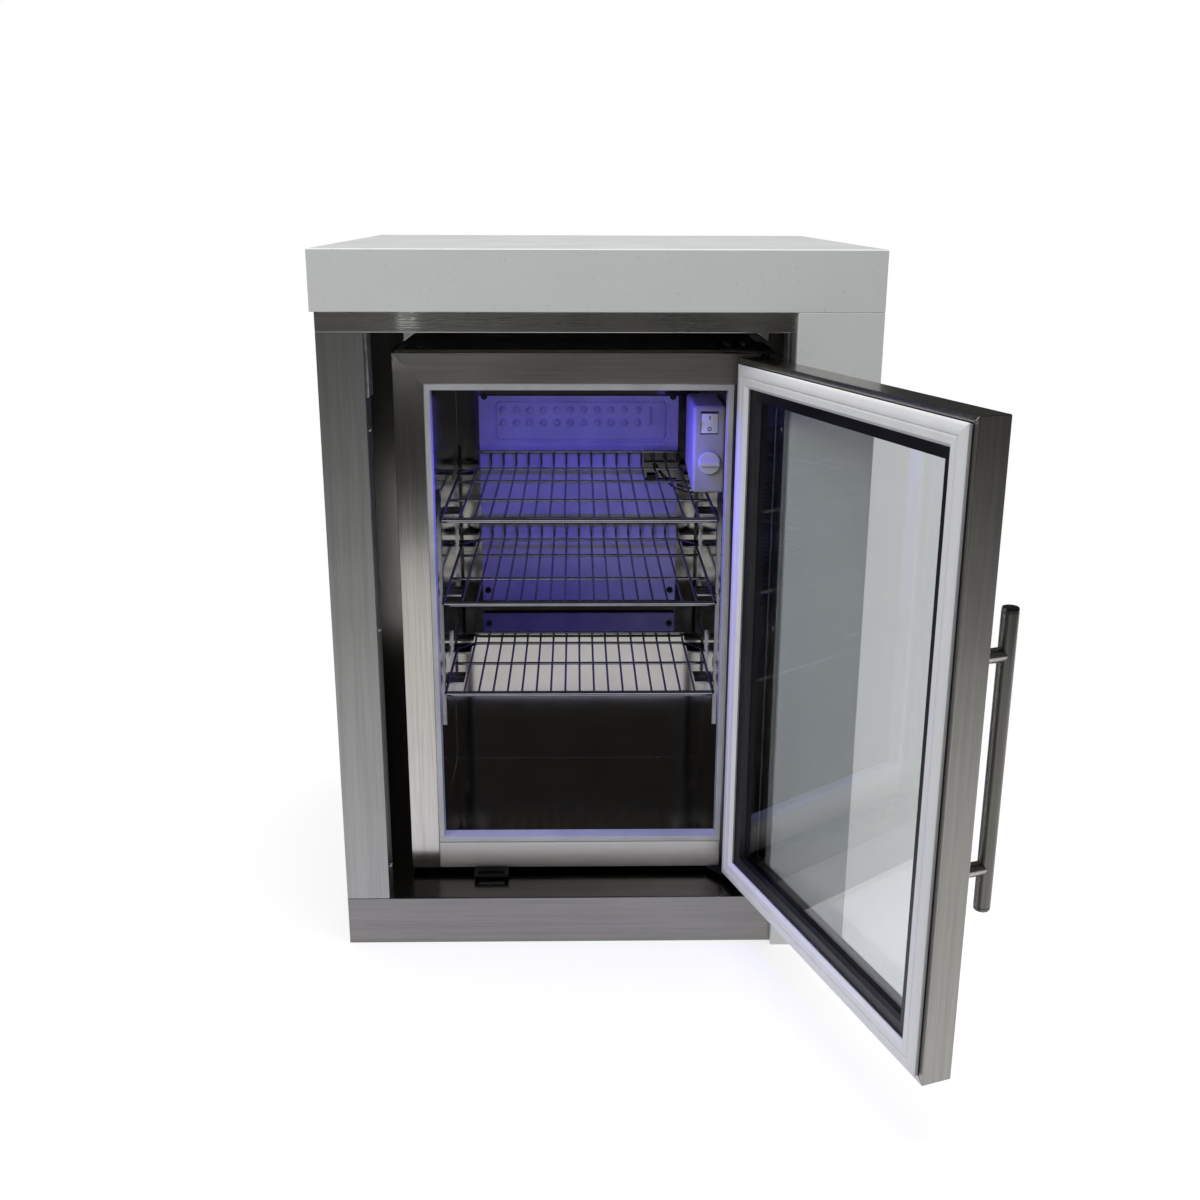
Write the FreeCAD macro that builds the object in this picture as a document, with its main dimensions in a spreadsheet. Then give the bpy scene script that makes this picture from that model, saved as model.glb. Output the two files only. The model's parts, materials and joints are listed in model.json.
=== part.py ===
"""Undercounter refrigerator: a glass-door cooler in a steel cabinet with a stone top.

Millimetres. Origin: on the floor, under the centre of the worktop.
+X is to the right of someone facing the door, +Y towards the back, +Z up.
The door is modelled shut about its hinge axis, then turned to its resting angle.
"""
import FreeCAD, Part
import math
import os

import Sketcher
from FreeCAD import Placement, Rotation, Vector

os.makedirs("parts", exist_ok=True)
doc = FreeCAD.newDocument("undercounter_refrigerator")
sheet = doc.addObject("Spreadsheet::Sheet", "Sizes")


# ---------------------------------------------------------------- sizes and formulas


class Size:
    """A length that keeps its spreadsheet formula, so sums in Python stay live expressions."""

    def __init__(self, formula, value):
        self.formula = formula
        self.value = value

    def __add__(self, other):
        other = as_size(other)
        return Size(f"({self.formula} + {other.formula})", self.value + other.value)

    def __sub__(self, other):
        other = as_size(other)
        return Size(f"({self.formula} - {other.formula})", self.value - other.value)

    def __mul__(self, other):
        other = as_size(other)
        return Size(f"({self.formula} * {other.formula})", self.value * other.value)

    def __truediv__(self, other):
        other = as_size(other)
        return Size(f"({self.formula} / {other.formula})", self.value / other.value)

    def __radd__(self, other):
        return as_size(other) + self

    def __rsub__(self, other):
        return as_size(other) - self

    def __rmul__(self, other):
        return as_size(other) * self

    def __neg__(self):
        return as_size(-1) * self

    def __float__(self):
        return float(self.value)


def as_size(number):
    """A plain number as a Size."""
    return number if isinstance(number, Size) else Size(f"{number}", float(number))


def larger(first, second):
    """The larger of two lengths."""
    return Size(f"max({first.formula}; {second.formula})", max(first.value, second.value))


def smaller(first, second):
    """The smaller of two lengths."""
    return Size(f"min({first.formula}; {second.formula})", min(first.value, second.value))


def driving(alias, number, meaning):
    """Write one driving dimension to the sheet and return it."""
    driving.row += 1
    sheet.set(f"A{driving.row}", meaning)
    sheet.set(f"B{driving.row}", f"{number}")
    sheet.setAlias(f"B{driving.row}", alias)
    return Size(f"Sizes.{alias}", float(number))


driving.row = 0

# worktop and waterfall end
worktop_width = driving("worktop_width", 676, "worktop, left edge to the waterfall's outer face")
worktop_depth = driving("worktop_depth", 614, "worktop, front to back")
total_height = driving("total_height", 914, "floor to the worktop's surface")
stone = driving("stone", 12, "thickness of the stone panels")
fascia_height = driving("fascia_height", 72, "worktop's built-up edge")
edge_bevel = driving("edge_bevel", 1.2, "bevel round the worktop's upper edge")
waterfall_width = driving("waterfall_width", 102, "stone leg at the right end")
side_overhang = driving("side_overhang", 3.2, "worktop beyond the cabinet's left side")
bearer_width = driving("bearer_width", 30, "tubes that carry the worktop")

# steel cabinet
gauge = driving("gauge", 1.5, "cabinet sheet steel")
rail_height = driving("rail_height", 24.7, "cabinet's upper rail")
flange_depth = driving("flange_depth", 40, "return flanges of rails and stiles")
stile_width = driving("stile_width", 56.5, "cabinet's front stiles")
stile_reveal = driving("stile_reveal", 5.3, "right stile seen beside the waterfall")
plinth_height = driving("plinth_height", 67, "floor to the cabinet's floor pan")
hanger_height = driving("hanger_height", 78, "hanger plates inside the stiles")
hanger_inset = driving("hanger_inset", 8, "cabinet's face to the hanger plates")
hanger_thick = driving("hanger_thick", 3, "hanger plates")
tab_left = driving("tab_left", 43, "left stile to the tab under the rail")
tab_right = driving("tab_right", 22, "right stile to the tab under the rail")
tab_width = driving("tab_width", 19, "tabs under the rail")
tab_height = driving("tab_height", 14, "tabs under the rail")
bolt_inset = driving("bolt_inset", 40, "opening's ends to the cabinet's bolts")
bolt_radius = driving("bolt_radius", 4, "heads of the cabinet's bolts")
bolt_head = driving("bolt_head", 3, "heads of the cabinet's bolts")
slot_length = driving("slot_length", 170, "ventilation slots in the cabinet's back")
slot_height = driving("slot_height", 6, "ventilation slot, high")
slot_pitch = driving("slot_pitch", 18, "ventilation slots, one above the next")
slot_count = 9
cable_hole = driving("cable_hole", 25, "radius of the cable hole in the cabinet's back")
grommet_bore = driving("grommet_bore", 20, "radius of the passage through the grommet")
grommet_lip = driving("grommet_lip", 4, "grommet beyond the hole's edge")
grommet_thick = driving("grommet_thick", 3, "grommet's lips, inside and outside")

# cooler case
side_gap = driving("side_gap", 21.2, "cabinet opening to the cooler, each side")
case_shift = driving("case_shift", 1.9, "cooler to the right of the opening's centre")
top_gap = driving("top_gap", 27.3, "upper rail to the cooler's top")
foot_height = driving("foot_height", 10, "cooler's feet")
foot_radius = driving("foot_radius", 18, "cooler's feet")
setback = driving("setback", 67.7, "cabinet face back to the cooler's front frame")
rear_space = driving("rear_space", 55, "behind the cooler")
skin = driving("skin", 1, "case and liner sheet")
side_wall = driving("side_wall", 40, "cooler's side walls")
top_wall = driving("top_wall", 42, "cooler's top")
floor_wall = driving("floor_wall", 43, "cooler's floor")
back_wall = driving("back_wall", 40, "cooler's back")
hump_depth = driving("hump_depth", 148, "step over the compressor, front to back")
hump_height = driving("hump_height", 208, "step over the compressor, high")
hump_wall = driving("hump_wall", 28, "foam over the compressor")

# front frame and breaker strip
frame_width = driving("frame_width", 38.8, "front frame members")
frame_depth = driving("frame_depth", 12, "front frame's turned edge")
frame_drop = driving("frame_drop", 4, "case top to the front frame's upper edge")
breaker_lip = driving("breaker_lip", 7.2, "breaker strip inside the frame")
breaker_depth = driving("breaker_depth", 23, "breaker strip, front to back")
breaker_wall = driving("breaker_wall", 2, "breaker strip's thickness")

# door
door_overlap = driving("door_overlap", 10.6, "door beyond the case, each side")
door_lift = driving("door_lift", 0.5, "case underside to the door's lower edge")
door_drop = driving("door_drop", 6.4, "case top to the door's upper edge")
door_thick = driving("door_thick", 35.5, "steel part of the door, front to back")
door_face = driving("door_face", 45, "width of the door's steel face")
door_rim = driving("door_rim", 47, "door's edge to the clear glass")
glass_edge = driving("glass_edge", 36, "door's edge to the panes' edge")
pane = driving("pane", 4, "glass thickness")
pane_inset = driving("pane_inset", 8, "inner pane behind the rim")
spacer_width = driving("spacer_width", 8, "spacer bar between the panes")
spacer_inset = driving("spacer_inset", 2, "panes' edge to the spacer bar")
gasket_proud = driving("gasket_proud", 7.7, "gasket beyond the door's inner plane")
gasket_inset = driving("gasket_inset", 6.9, "door's edge to the gasket")
gasket_width = driving("gasket_width", 27, "gasket, across")
seal_gap = driving("seal_gap", 0.3, "gasket to the front frame when shut")
hinge_inset = driving("hinge_inset", 18, "door's edge to the hinge axis")
hinge_front = driving("hinge_front", 11.4, "door's front face to the hinge axis")
door_open = driving("door_open", 109.2, "door's resting angle in degrees")
pin_radius = driving("pin_radius", 4, "hinge pins")
pin_fit = driving("pin_fit", 0.05, "hinge pin to its bush")
pin_reach = driving("pin_reach", 14, "hinge pin inside the door")
bush_wall = driving("bush_wall", 3, "hinge bush")
bracket_thick = driving("bracket_thick", 3, "hinge brackets")
bracket_width = driving("bracket_width", 62, "hinge brackets")
bracket_side = driving("bracket_side", 12, "hinge axis to the brackets' outer side")
bracket_nose = driving("bracket_nose", 11, "hinge axis to the brackets' front")
bracket_back = driving("bracket_back", 72, "upper bracket on top of the case")
bracket_lap = driving("bracket_lap", 10, "lower bracket under the case")
bracket_corner = driving("bracket_corner", 8, "brackets' cut corner")
screw_radius = driving("screw_radius", 4.5, "heads of the case's screws")
screw_head = driving("screw_head", 2.5, "heads of the case's screws")
plug_radius = driving("plug_radius", 4, "plugs in the spare hinge holes")
plug_head = driving("plug_head", 1.5, "plugs in the spare hinge holes")

# handle and lock
handle_radius = driving("handle_radius", 9, "handle tube")
handle_wall = driving("handle_wall", 1.5, "handle tube's wall")
handle_cap = driving("handle_cap", 2, "caps in the handle's ends")
handle_length = driving("handle_length", 338, "handle, end to end")
handle_low = driving("handle_low", 167.5, "door's lower edge to the handle")
handle_inset = driving("handle_inset", 45, "door's free edge to the handle")
handle_reach = driving("handle_reach", 53.8, "door's face to the handle's axis")
post_radius = driving("post_radius", 8, "handle posts")
post_inset = driving("post_inset", 50, "handle's end to its post")
lock_inset = driving("lock_inset", 111.3, "door's free edge to the lock")
lock_height = driving("lock_height", 22.5, "door's lower edge to the lock's axis")
lock_radius = driving("lock_radius", 9, "lock barrel")
cam_length = driving("cam_length", 30, "lock's axis to the end of its cam")
cam_width = driving("cam_width", 8, "lock cam")
cam_thick = driving("cam_thick", 3, "lock cam")
cam_inset = driving("cam_inset", 4.7, "door's inner plane to the lock cam")
lock_play = driving("lock_play", 0.3, "lock barrel in the door's face")
lock_proud = driving("lock_proud", 2, "lock barrel ahead of the door's face")
key_width = driving("key_width", 1.6, "lock's key slot")
key_height = driving("key_height", 8, "lock's key slot")
key_depth = driving("key_depth", 5, "lock's key slot")
pit_play = driving("pit_play", 2, "hinge pins and lock cam in the door's core")
strike_width = driving("strike_width", 47, "lock strike")
strike_thick = driving("strike_thick", 4, "lock strike")
strike_reach = driving("strike_reach", 22, "lock strike ahead of the front frame")

# shelves; heights inside are given for an inner height of inner_basis, and scale with it
inner_basis = driving("inner_basis", 628, "inner height that the heights inside are given for")
shelf_low = driving("shelf_low", 201, "cooler's floor to the bottom shelf")
shelf_mid = driving("shelf_mid", 330, "cooler's floor to the middle shelf")
shelf_high = driving("shelf_high", 445, "cooler's floor to the top shelf")
shelf_play = driving("shelf_play", 1, "shelf to the breaker strip, each side")
shelf_front = driving("shelf_front", 41, "front frame back to the shelf's front wire")
shelf_rear = driving("shelf_rear", 17, "liner's back to the shelf's rear wire")
wire = driving("wire", 1.6, "radius of the shelf's long wires")
cross_wire = driving("cross_wire", 2.2, "radius of the shelf's cross wires")
front_wire = driving("front_wire", 3, "radius of the shelf's front wire")
shelf_upstand = driving("shelf_upstand", 22, "shelf's turned-up rear edge")
shelf_bend = driving("shelf_bend", 8, "bend at the shelf's rear edge")
low_shelf_rear = driving("low_shelf_rear", 5, "step to the bottom shelf's rear wire")
low_shelf_upstand = driving("low_shelf_upstand", 9.5, "bottom shelf's turned-up rear edge")
weld_sink = driving("weld_sink", 0.6, "wires sunk into each other where they are welded")
cross_spacing = driving("cross_spacing", 129, "cross wires, from the front wire back")
wire_count = 17
wire_inset = driving("wire_inset", 28, "shelf's sides to its first and last long wires")
pilaster_width = driving("pilaster_width", 14, "shelf pilasters")
pilaster_thick = driving("pilaster_thick", 3, "shelf pilasters")
pilaster_front = driving("pilaster_front", 119, "front frame to the front pilasters")
pilaster_rear = driving("pilaster_rear", 42, "liner's back to the rear pilasters")
pilaster_low = driving("pilaster_low", 125, "cooler's floor to the pilasters")
pilaster_high = driving("pilaster_high", 160, "liner's top to the pilasters")
notch_pitch = driving("notch_pitch", 24, "pilaster slots, one above the next")
notch_across = driving("notch_across", 4, "pilaster slots")
notch_tall = driving("notch_tall", 8, "pilaster slots")
notch_start = driving("notch_start", 10, "pilaster's lower end to its first slot")
notch_count = 14
rear_lift = driving("rear_lift", 4, "step's top to the rear pilasters")
rear_notch_count = 10
short_place = driving("short_place", 30, "short pilasters in front of the step")
short_length = driving("short_length", 100, "short pilasters")
short_notch_count = 4
clip_reach = driving("clip_reach", 27, "shelf clips, from the pilaster inwards")
clip_width = driving("clip_width", 44, "shelf clips, front to back")
clip_thick = driving("clip_thick", 1.5, "shelf clips")
clip_drop = driving("clip_drop", 9, "shelf clips' flange on the pilaster")
clip_gap = driving("clip_gap", 0.3, "shelf wire above its clip")

# fittings inside
plate_thick = driving("plate_thick", 2, "evaporator plate")
plate_gap = driving("plate_gap", 6, "liner's back to the evaporator plate")
plate_side = driving("plate_side", 36, "liner's sides to the evaporator plate")
plate_top = driving("plate_top", 74, "liner's top to the evaporator plate")
plate_height = driving("plate_height", 335, "evaporator plate")
panel_left = driving("panel_left", 22.5, "evaporator plate's left edge to its pressed panel")
panel_right = driving("panel_right", 15, "evaporator plate's right edge to its pressed panel")
panel_top = driving("panel_top", 5, "evaporator plate's top to its pressed panel")
panel_height = driving("panel_height", 68, "evaporator plate's pressed panel")
panel_corner = driving("panel_corner", 7, "pressed panel's cut corners")
groove_width = driving("groove_width", 4, "groove round the pressed panel")
notch_width = driving("notch_width", 54, "notch in the evaporator plate")
notch_height = driving("notch_height", 45, "notch in the evaporator plate")
notch_drop = driving("notch_drop", 89, "evaporator plate's top to its notch")
bump_inset = driving("bump_inset", 38, "evaporator plate's left edge to its first bump")
bump_drop = driving("bump_drop", 22, "evaporator plate's top to its upper bumps")
bump_rows = driving("bump_rows", 20.4, "between the two rows of bumps")
bump_pitch = driving("bump_pitch", 21.2, "bumps, one to the next")
bump_radius = driving("bump_radius", 3.6, "evaporator plate's bumps")
rib_width = driving("rib_width", 3, "rib after the bumps")
fixing_inset = driving("fixing_inset", 9, "evaporator plate's edge to its fixings")
fixing_drop = driving("fixing_drop", 1, "evaporator plate's top to its upper fixings")
fixing_radius = driving("fixing_radius", 5, "evaporator plate's fixings")
head_thick = driving("head_thick", 2.5, "heads of the evaporator plate's fixings")
holder_inset = driving("holder_inset", 6, "notch's side to the sensor's holder")
holder_width = driving("holder_width", 18, "sensor's holder")
holder_height = driving("holder_height", 10, "sensor's holder")
holder_thick = driving("holder_thick", 4, "sensor's holder")
holder_lap = driving("holder_lap", 2, "sensor's holder on the plate")
bump_count = 11
control_width = driving("control_width", 43, "control box")
control_depth = driving("control_depth", 120, "control box, front to back")
control_drop = driving("control_drop", 38, "liner's top to the control box")
control_height = driving("control_height", 117, "control box")
control_front = driving("control_front", 71, "front frame back to the control box")
control_slope = driving("control_slope", 18, "rise of the control box's underside")
knob_radius = driving("knob_radius", 14.5, "thermostat knob")
knob_length = driving("knob_length", 12, "thermostat knob")
knob_drop = driving("knob_drop", 113, "liner's top to the knob's axis")
switch_width = driving("switch_width", 22, "light switch")
switch_height = driving("switch_height", 29, "light switch")
switch_drop = driving("switch_drop", 60.5, "liner's top to the switch's axis")
switch_play = driving("switch_play", 0.8, "light switch in its recess")
switch_recess = driving("switch_recess", 10, "light switch's recess")
knob_gap = driving("knob_gap", 0.3, "thermostat knob ahead of the control box")
ridge_half = driving("ridge_half", 3, "half the height of the knob's ridge")
ridge_inset = driving("ridge_inset", 1.5, "knob's edge to its ridge")
lamp_length = driving("lamp_length", 150, "lamp at the cooler's top")
lamp_depth = driving("lamp_depth", 18, "lamp, front to back")
lamp_height = driving("lamp_height", 9, "lamp")
lamp_inset = driving("lamp_inset", 8, "liner's front to the lamp")
lens_inset = driving("lens_inset", 2.5, "lamp's edge to its lens")
compressor_radius = driving("compressor_radius", 60, "compressor")
compressor_gap = driving("compressor_gap", 50, "compressor to the foam over it")
coil_wire = driving("coil_wire", 2.4, "radius of the condenser's tube")
coil_pitch = driving("coil_pitch", 44, "condenser's passes")
coil_passes = 9
coil_side = driving("coil_side", 60, "case's sides to the condenser's passes")
coil_rise = driving("coil_rise", 60, "opening of the pit to the condenser's lowest pass")
strap_width = driving("strap_width", 8, "condenser's straps")
strap_place = driving("strap_place", 90, "case's middle to the condenser's straps")
strap_spare = driving("strap_spare", 20, "condenser's straps beyond its passes")

# places in plan, left to right
left = -worktop_width / 2
right = worktop_width / 2
waterfall_inner = right - waterfall_width
cabinet_left = left + side_overhang
opening_left = cabinet_left + stile_width
opening_right = waterfall_inner - stile_reveal
cabinet_right = opening_right + stile_width
case_left = opening_left + side_gap + case_shift
case_right = opening_right - side_gap + case_shift
case_middle = (case_left + case_right) / 2
liner_left = case_left + side_wall
liner_right = case_right - side_wall
mouth_left = case_left + frame_width + breaker_lip
mouth_right = case_right - frame_width - breaker_lip

# front to back
front = -worktop_depth / 2
back = worktop_depth / 2
face = front + stone
cabinet_back = back - stone
cooler_front = face + setback
case_back = cabinet_back - rear_space
liner_back = case_back - back_wall
liner_front = cooler_front + breaker_depth
hump_front = liner_back - hump_depth

# bottom to top
worktop_under = total_height - fascia_height
rail_under = worktop_under - rail_height
case_low = plinth_height + foot_height
case_top = rail_under - top_gap
liner_floor = case_low + floor_wall
liner_top = case_top - top_wall
frame_top = case_top - frame_drop


def scaled(height):
    """A height inside the cooler, which follows the inner height."""
    return height * (liner_top - liner_floor) / inner_basis


hump_top = liner_floor + scaled(hump_height)
pit_top = hump_top - hump_wall
pit_front = hump_front + hump_wall


# door, about its hinge axis, as it lies when shut
door_left = case_left - door_overlap
door_right = case_right + door_overlap
door_low = case_low + door_lift
door_top = case_top - door_drop
hinge_x = door_right - hinge_inset
hinge_y = cooler_front - seal_gap - gasket_proud - door_thick + hinge_front
leaf_left = door_left - hinge_x
leaf_right = hinge_inset
leaf_front = -hinge_front
leaf_inner = door_thick - hinge_front
lock_x = leaf_left + lock_inset


# ---------------------------------------------------------------- ways of making pieces

PIECES = {}


def bind(thing, **sizes):
    """Bind properties to formulas; in a property's name two underscores stand for a dot."""
    for name, size in sizes.items():
        thing.setExpression(name.replace("__", "."), as_size(size).formula)
    return thing


def piece(label, thing):
    """Name a finished sub-part; its label is also its file's name."""
    thing.Label = label
    PIECES[label] = thing
    return thing


def box(x, y, z):
    """A block between low and high places along each axis."""
    block = doc.addObject("Part::Box", "block")
    bind(block, Length=x[1] - x[0], Width=y[1] - y[0], Height=z[1] - z[0])
    return bind(block, Placement__Base__x=x[0], Placement__Base__y=y[0], Placement__Base__z=z[0])


TURNS = {
    "X": Rotation(Vector(0, 1, 0), 90),
    "Y": Rotation(Vector(1, 0, 0), -90),
    "Z": Rotation(),
}


def rod(axis, start, radius, length):
    """A round bar from its start along an axis."""
    bar = doc.addObject("Part::Cylinder", "rod")
    bar.Placement = Placement(Vector(), TURNS[axis])
    bind(bar, Radius=radius, Height=length)
    return bind(bar, **{f"Placement__Base__{k}": v for k, v in zip("xyz", start)})


def group(things):
    """Separate solids in one sub-part."""
    several = doc.addObject("Part::Compound", "group")
    several.Links = things
    return several


def fuse(things):
    """Solids joined into one."""
    joined = doc.addObject("Part::MultiFuse", "joined")
    joined.Shapes = things
    joined.Refine = True
    return joined


def cut(base, tools):
    """A solid with others taken away from it."""
    rest = doc.addObject("Part::Cut", "rest")
    rest.Base = base
    rest.Tool = tools[0] if len(tools) == 1 else group(tools)
    return rest


def tube(x, y, z, along):
    """A rectangular steel tube, open at both ends."""
    hollow = [
        span if axis == along else (span[0] + gauge, span[1] - gauge)
        for axis, span in zip("XYZ", (x, y, z))
    ]
    return cut(box(x, y, z), [box(*hollow)])


def body(name):
    """An empty body for sketched features."""
    made = doc.addObject("PartDesign::Body", name)
    made.AllowCompound = True
    return made


def origin_of(part, role):
    return next(p for p in part.Origin.OriginFeatures if p.Role == role)


def sketch_on(part, plane, offset):
    """A sketch on one of the body's own planes, moved along that plane's normal."""
    sketch = part.newObject("Sketcher::SketchObject", "sketch")
    sketch.AttachmentSupport = [(origin_of(part, f"{plane}_Plane"), "")]
    sketch.MapMode = "FlatFace"
    return bind(sketch, AttachmentOffset__Base__z=offset)


def pin_down(sketch, kind, name, refs, size):
    """One named constraint that follows a formula."""
    number = sketch.addConstraint(Sketcher.Constraint(kind, *refs, float(size)))
    sketch.renameConstraint(number, name)
    sketch.setExpression(f"Constraints.{name}", as_size(size).formula)


def outline(sketch, points):
    """A closed outline with every corner held at its place."""
    first = sketch.GeometryCount
    ends = [Vector(float(u), float(v), 0) for u, v in points]
    for here, there in zip(ends, ends[1:] + ends[:1]):
        sketch.addGeometry(Part.LineSegment(here, there))
    for i, (u, v) in enumerate(points):
        line = first + i
        after = first + (i + 1) % len(points)
        sketch.addConstraint(Sketcher.Constraint("Coincident", line, 2, after, 1))
        pin_down(sketch, "DistanceX", f"u{line}", (-1, 1, line, 1), u)
        pin_down(sketch, "DistanceY", f"v{line}", (-1, 1, line, 1), v)


def circle(sketch, centre, radius):
    """A circle held by its centre and radius."""
    ring = sketch.addGeometry(
        Part.Circle(Vector(float(centre[0]), float(centre[1]), 0), Vector(0, 0, 1), float(radius))
    )
    pin_down(sketch, "DistanceX", f"u{ring}", (-1, 1, ring, 3), centre[0])
    pin_down(sketch, "DistanceY", f"v{ring}", (-1, 1, ring, 3), centre[1])
    pin_down(sketch, "Radius", f"r{ring}", (ring,), radius)


def rectangle(x, y):
    return [(x[0], y[0]), (x[1], y[0]), (x[1], y[1]), (x[0], y[1])]


def slab_sketch(part, plane, span, far_end):
    """A sketch at one end of a span; XZ's normal points to the front, the others' to the high end."""
    if plane == "XZ":
        return sketch_on(part, plane, -(span[0] if far_end else span[1]))
    return sketch_on(part, plane, span[1] if far_end else span[0])


def pad(part, plane, span, outlines=(), circles=()):
    """Add outlines or circles, extruded over a span at right angles to their plane."""
    sketch = slab_sketch(part, plane, span, far_end=False)
    for points in outlines:
        outline(sketch, points)
    for centre, radius in circles:
        circle(sketch, centre, radius)
    added = part.newObject("PartDesign::Pad", "pad")
    added.Profile = sketch
    bind(added, Length=span[1] - span[0])
    part.Tip = added
    return added


def pocket(part, plane, span, outlines=(), circles=()):
    """Take outlines or circles away over a span; a cut that removes nothing is an error."""
    doc.recompute()
    before = part.Shape.Volume
    sketch = slab_sketch(part, plane, span, far_end=True)
    for points in outlines:
        outline(sketch, points)
    for centre, radius in circles:
        circle(sketch, centre, radius)
    taken = part.newObject("PartDesign::Pocket", "pocket")
    taken.Profile = sketch
    bind(taken, Length=span[1] - span[0])
    part.Tip = taken
    doc.recompute()
    if part.Shape.Volume > before - 1e-6:
        raise ValueError(f"a pocket in {part.Name} removes nothing")
    return taken


def pattern(part, features, axis, length, count):
    """Repeat features along an axis over a length."""
    row = part.newObject("PartDesign::LinearPattern", "row")
    row.Originals = features
    row.Direction = (origin_of(part, f"{axis}_Axis"), [""])
    bind(row, Length=length)
    row.Occurrences = count
    part.Tip = row
    return row


def prism(name, plane, span, points):
    """A body of one outline, extruded over a span."""
    made = body(name)
    pad(made, plane, span, [points])
    return made


def turned(name, axis, start, points):
    """A solid of revolution: points are (radius, distance along the axis)."""
    made = body(name)
    sketch = sketch_on(made, "XZ", as_size(0))
    outline(sketch, points)
    spun = made.newObject("PartDesign::Revolution", "revolution")
    spun.Profile = sketch
    spun.ReferenceAxis = (sketch, ["V_Axis"])
    spun.Angle = 360
    made.Tip = spun
    made.Placement = Placement(Vector(), TURNS[axis])
    return bind(made, **{f"Placement__Base__{k}": v for k, v in zip("xyz", start)})


def mitred_ring(name, ring, section, reach, butt=False):
    """Left, right, top and bottom members of a rectangular ring.

    ring is (low x, high x, low z, high z); section is a list of (distance in from the ring's
    edge, y); reach is the section's width. Corners are mitred; with butt, the uprights run
    down to the lower edge and the bottom member fits between them.
    """
    x0, x1, z0, z1 = ring
    members = {
        "left": ("XY", (z0, z1), [(x0 + a, y) for a, y in section]),
        "right": ("XY", (z0, z1), [(x1 - a, y) for a, y in section]),
        "top": ("YZ", (x0, x1), [(y, z1 - a) for a, y in section]),
        "bottom": ("YZ", (x0, x1), [(y, z0 + a) for a, y in section]),
    }
    if butt:
        members["bottom"] = ("YZ", (x0 + reach, x1 - reach), members["bottom"][2])
    corners = {
        "left": [(x0, z1, 1, -1, "side"), (x0, z0, 1, 1, "side")],
        "right": [(x1, z1, -1, -1, "side"), (x1, z0, -1, 1, "side")],
        "top": [(x0, z1, 1, -1, "end"), (x1, z1, -1, -1, "end")],
        "bottom": [(x0, z0, 1, 1, "end"), (x1, z0, -1, 1, "end")],
    }
    made = {}
    for side, (plane, span, points) in members.items():
        member = prism(f"{name}_{side}", plane, span, points)
        mitres = [c for c in corners[side] if not (butt and c[1] is z0)]
        if mitres:
            sketch = sketch_on(member, "XZ", as_size(0))
            for x, z, inward, vertical, kind in mitres:
                inner_x = x + inward * reach
                inner_z = z + vertical * reach
                third = (inner_x, z) if kind == "side" else (x, inner_z)
                outline(sketch, [(x, z), third, (inner_x, inner_z)])
            mitre = member.newObject("PartDesign::Pocket", "mitre")
            mitre.Profile = sketch
            mitre.Type = "ThroughAll"
            mitre.Midplane = True
            member.Tip = mitre
        made[side] = member
    return made


def on_door(thing):
    """Turn a sub-part of the door, modelled shut, to the door's resting angle."""
    thing.Placement = Placement(Vector(), Rotation(Vector(0, 0, 1), float(door_open)))
    bind(thing, Placement__Base__x=hinge_x, Placement__Base__y=hinge_y)
    return bind(thing, Placement__Rotation__Angle=door_open)


# ---------------------------------------------------------------- worktop and waterfall


def make_stone():
    slab_low = total_height - stone
    slab = prism("slab", "XY", (slab_low, total_height), rectangle((left, right), (front, back)))
    doc.recompute()
    rim = [
        f"Edge{i}"
        for i, edge in enumerate(slab.Shape.Edges, 1)
        if all(abs(v.Z - float(total_height)) < 1e-6 for v in edge.Vertexes)
    ]
    block = slab.Tip
    bevel = slab.newObject("PartDesign::Chamfer", "bevel")
    bevel.Base = (block, rim)
    bind(bevel, Size=edge_bevel)
    slab.Tip = bevel
    piece("worktop_slab", slab)

    z = (worktop_under, slab_low)
    inner = (face, cabinet_back)
    aprons = [
        box((left, right), (front, face), z),
        box((left, right), (cabinet_back, back), z),
        box((left, left + stone), inner, z),
        box((right - stone, right), inner, z),
    ]
    piece("worktop_aprons", group(aprons))

    z = (as_size(0), worktop_under)
    piece("waterfall_front", box((waterfall_inner, right), (front, face), z))
    rest = [
        box((right - stone, right), inner, z),
        box((waterfall_inner, right), (cabinet_back, back), z),
    ]
    piece("waterfall_side", group(rest))

    z = (worktop_under, slab_low)
    low_x = left + stone
    high_x = right - stone
    between = (face + bearer_width, cabinet_back - bearer_width)
    bearers = [
        tube((low_x, high_x), (face, between[0]), z, "X"),
        tube((low_x, high_x), (between[1], cabinet_back), z, "X"),
        tube((low_x, low_x + bearer_width), between, z, "Y"),
        tube((cabinet_right - bearer_width, cabinet_right), between, z, "Y"),
    ]
    piece("worktop_bearers", group(bearers))


# ---------------------------------------------------------------- steel cabinet


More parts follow.
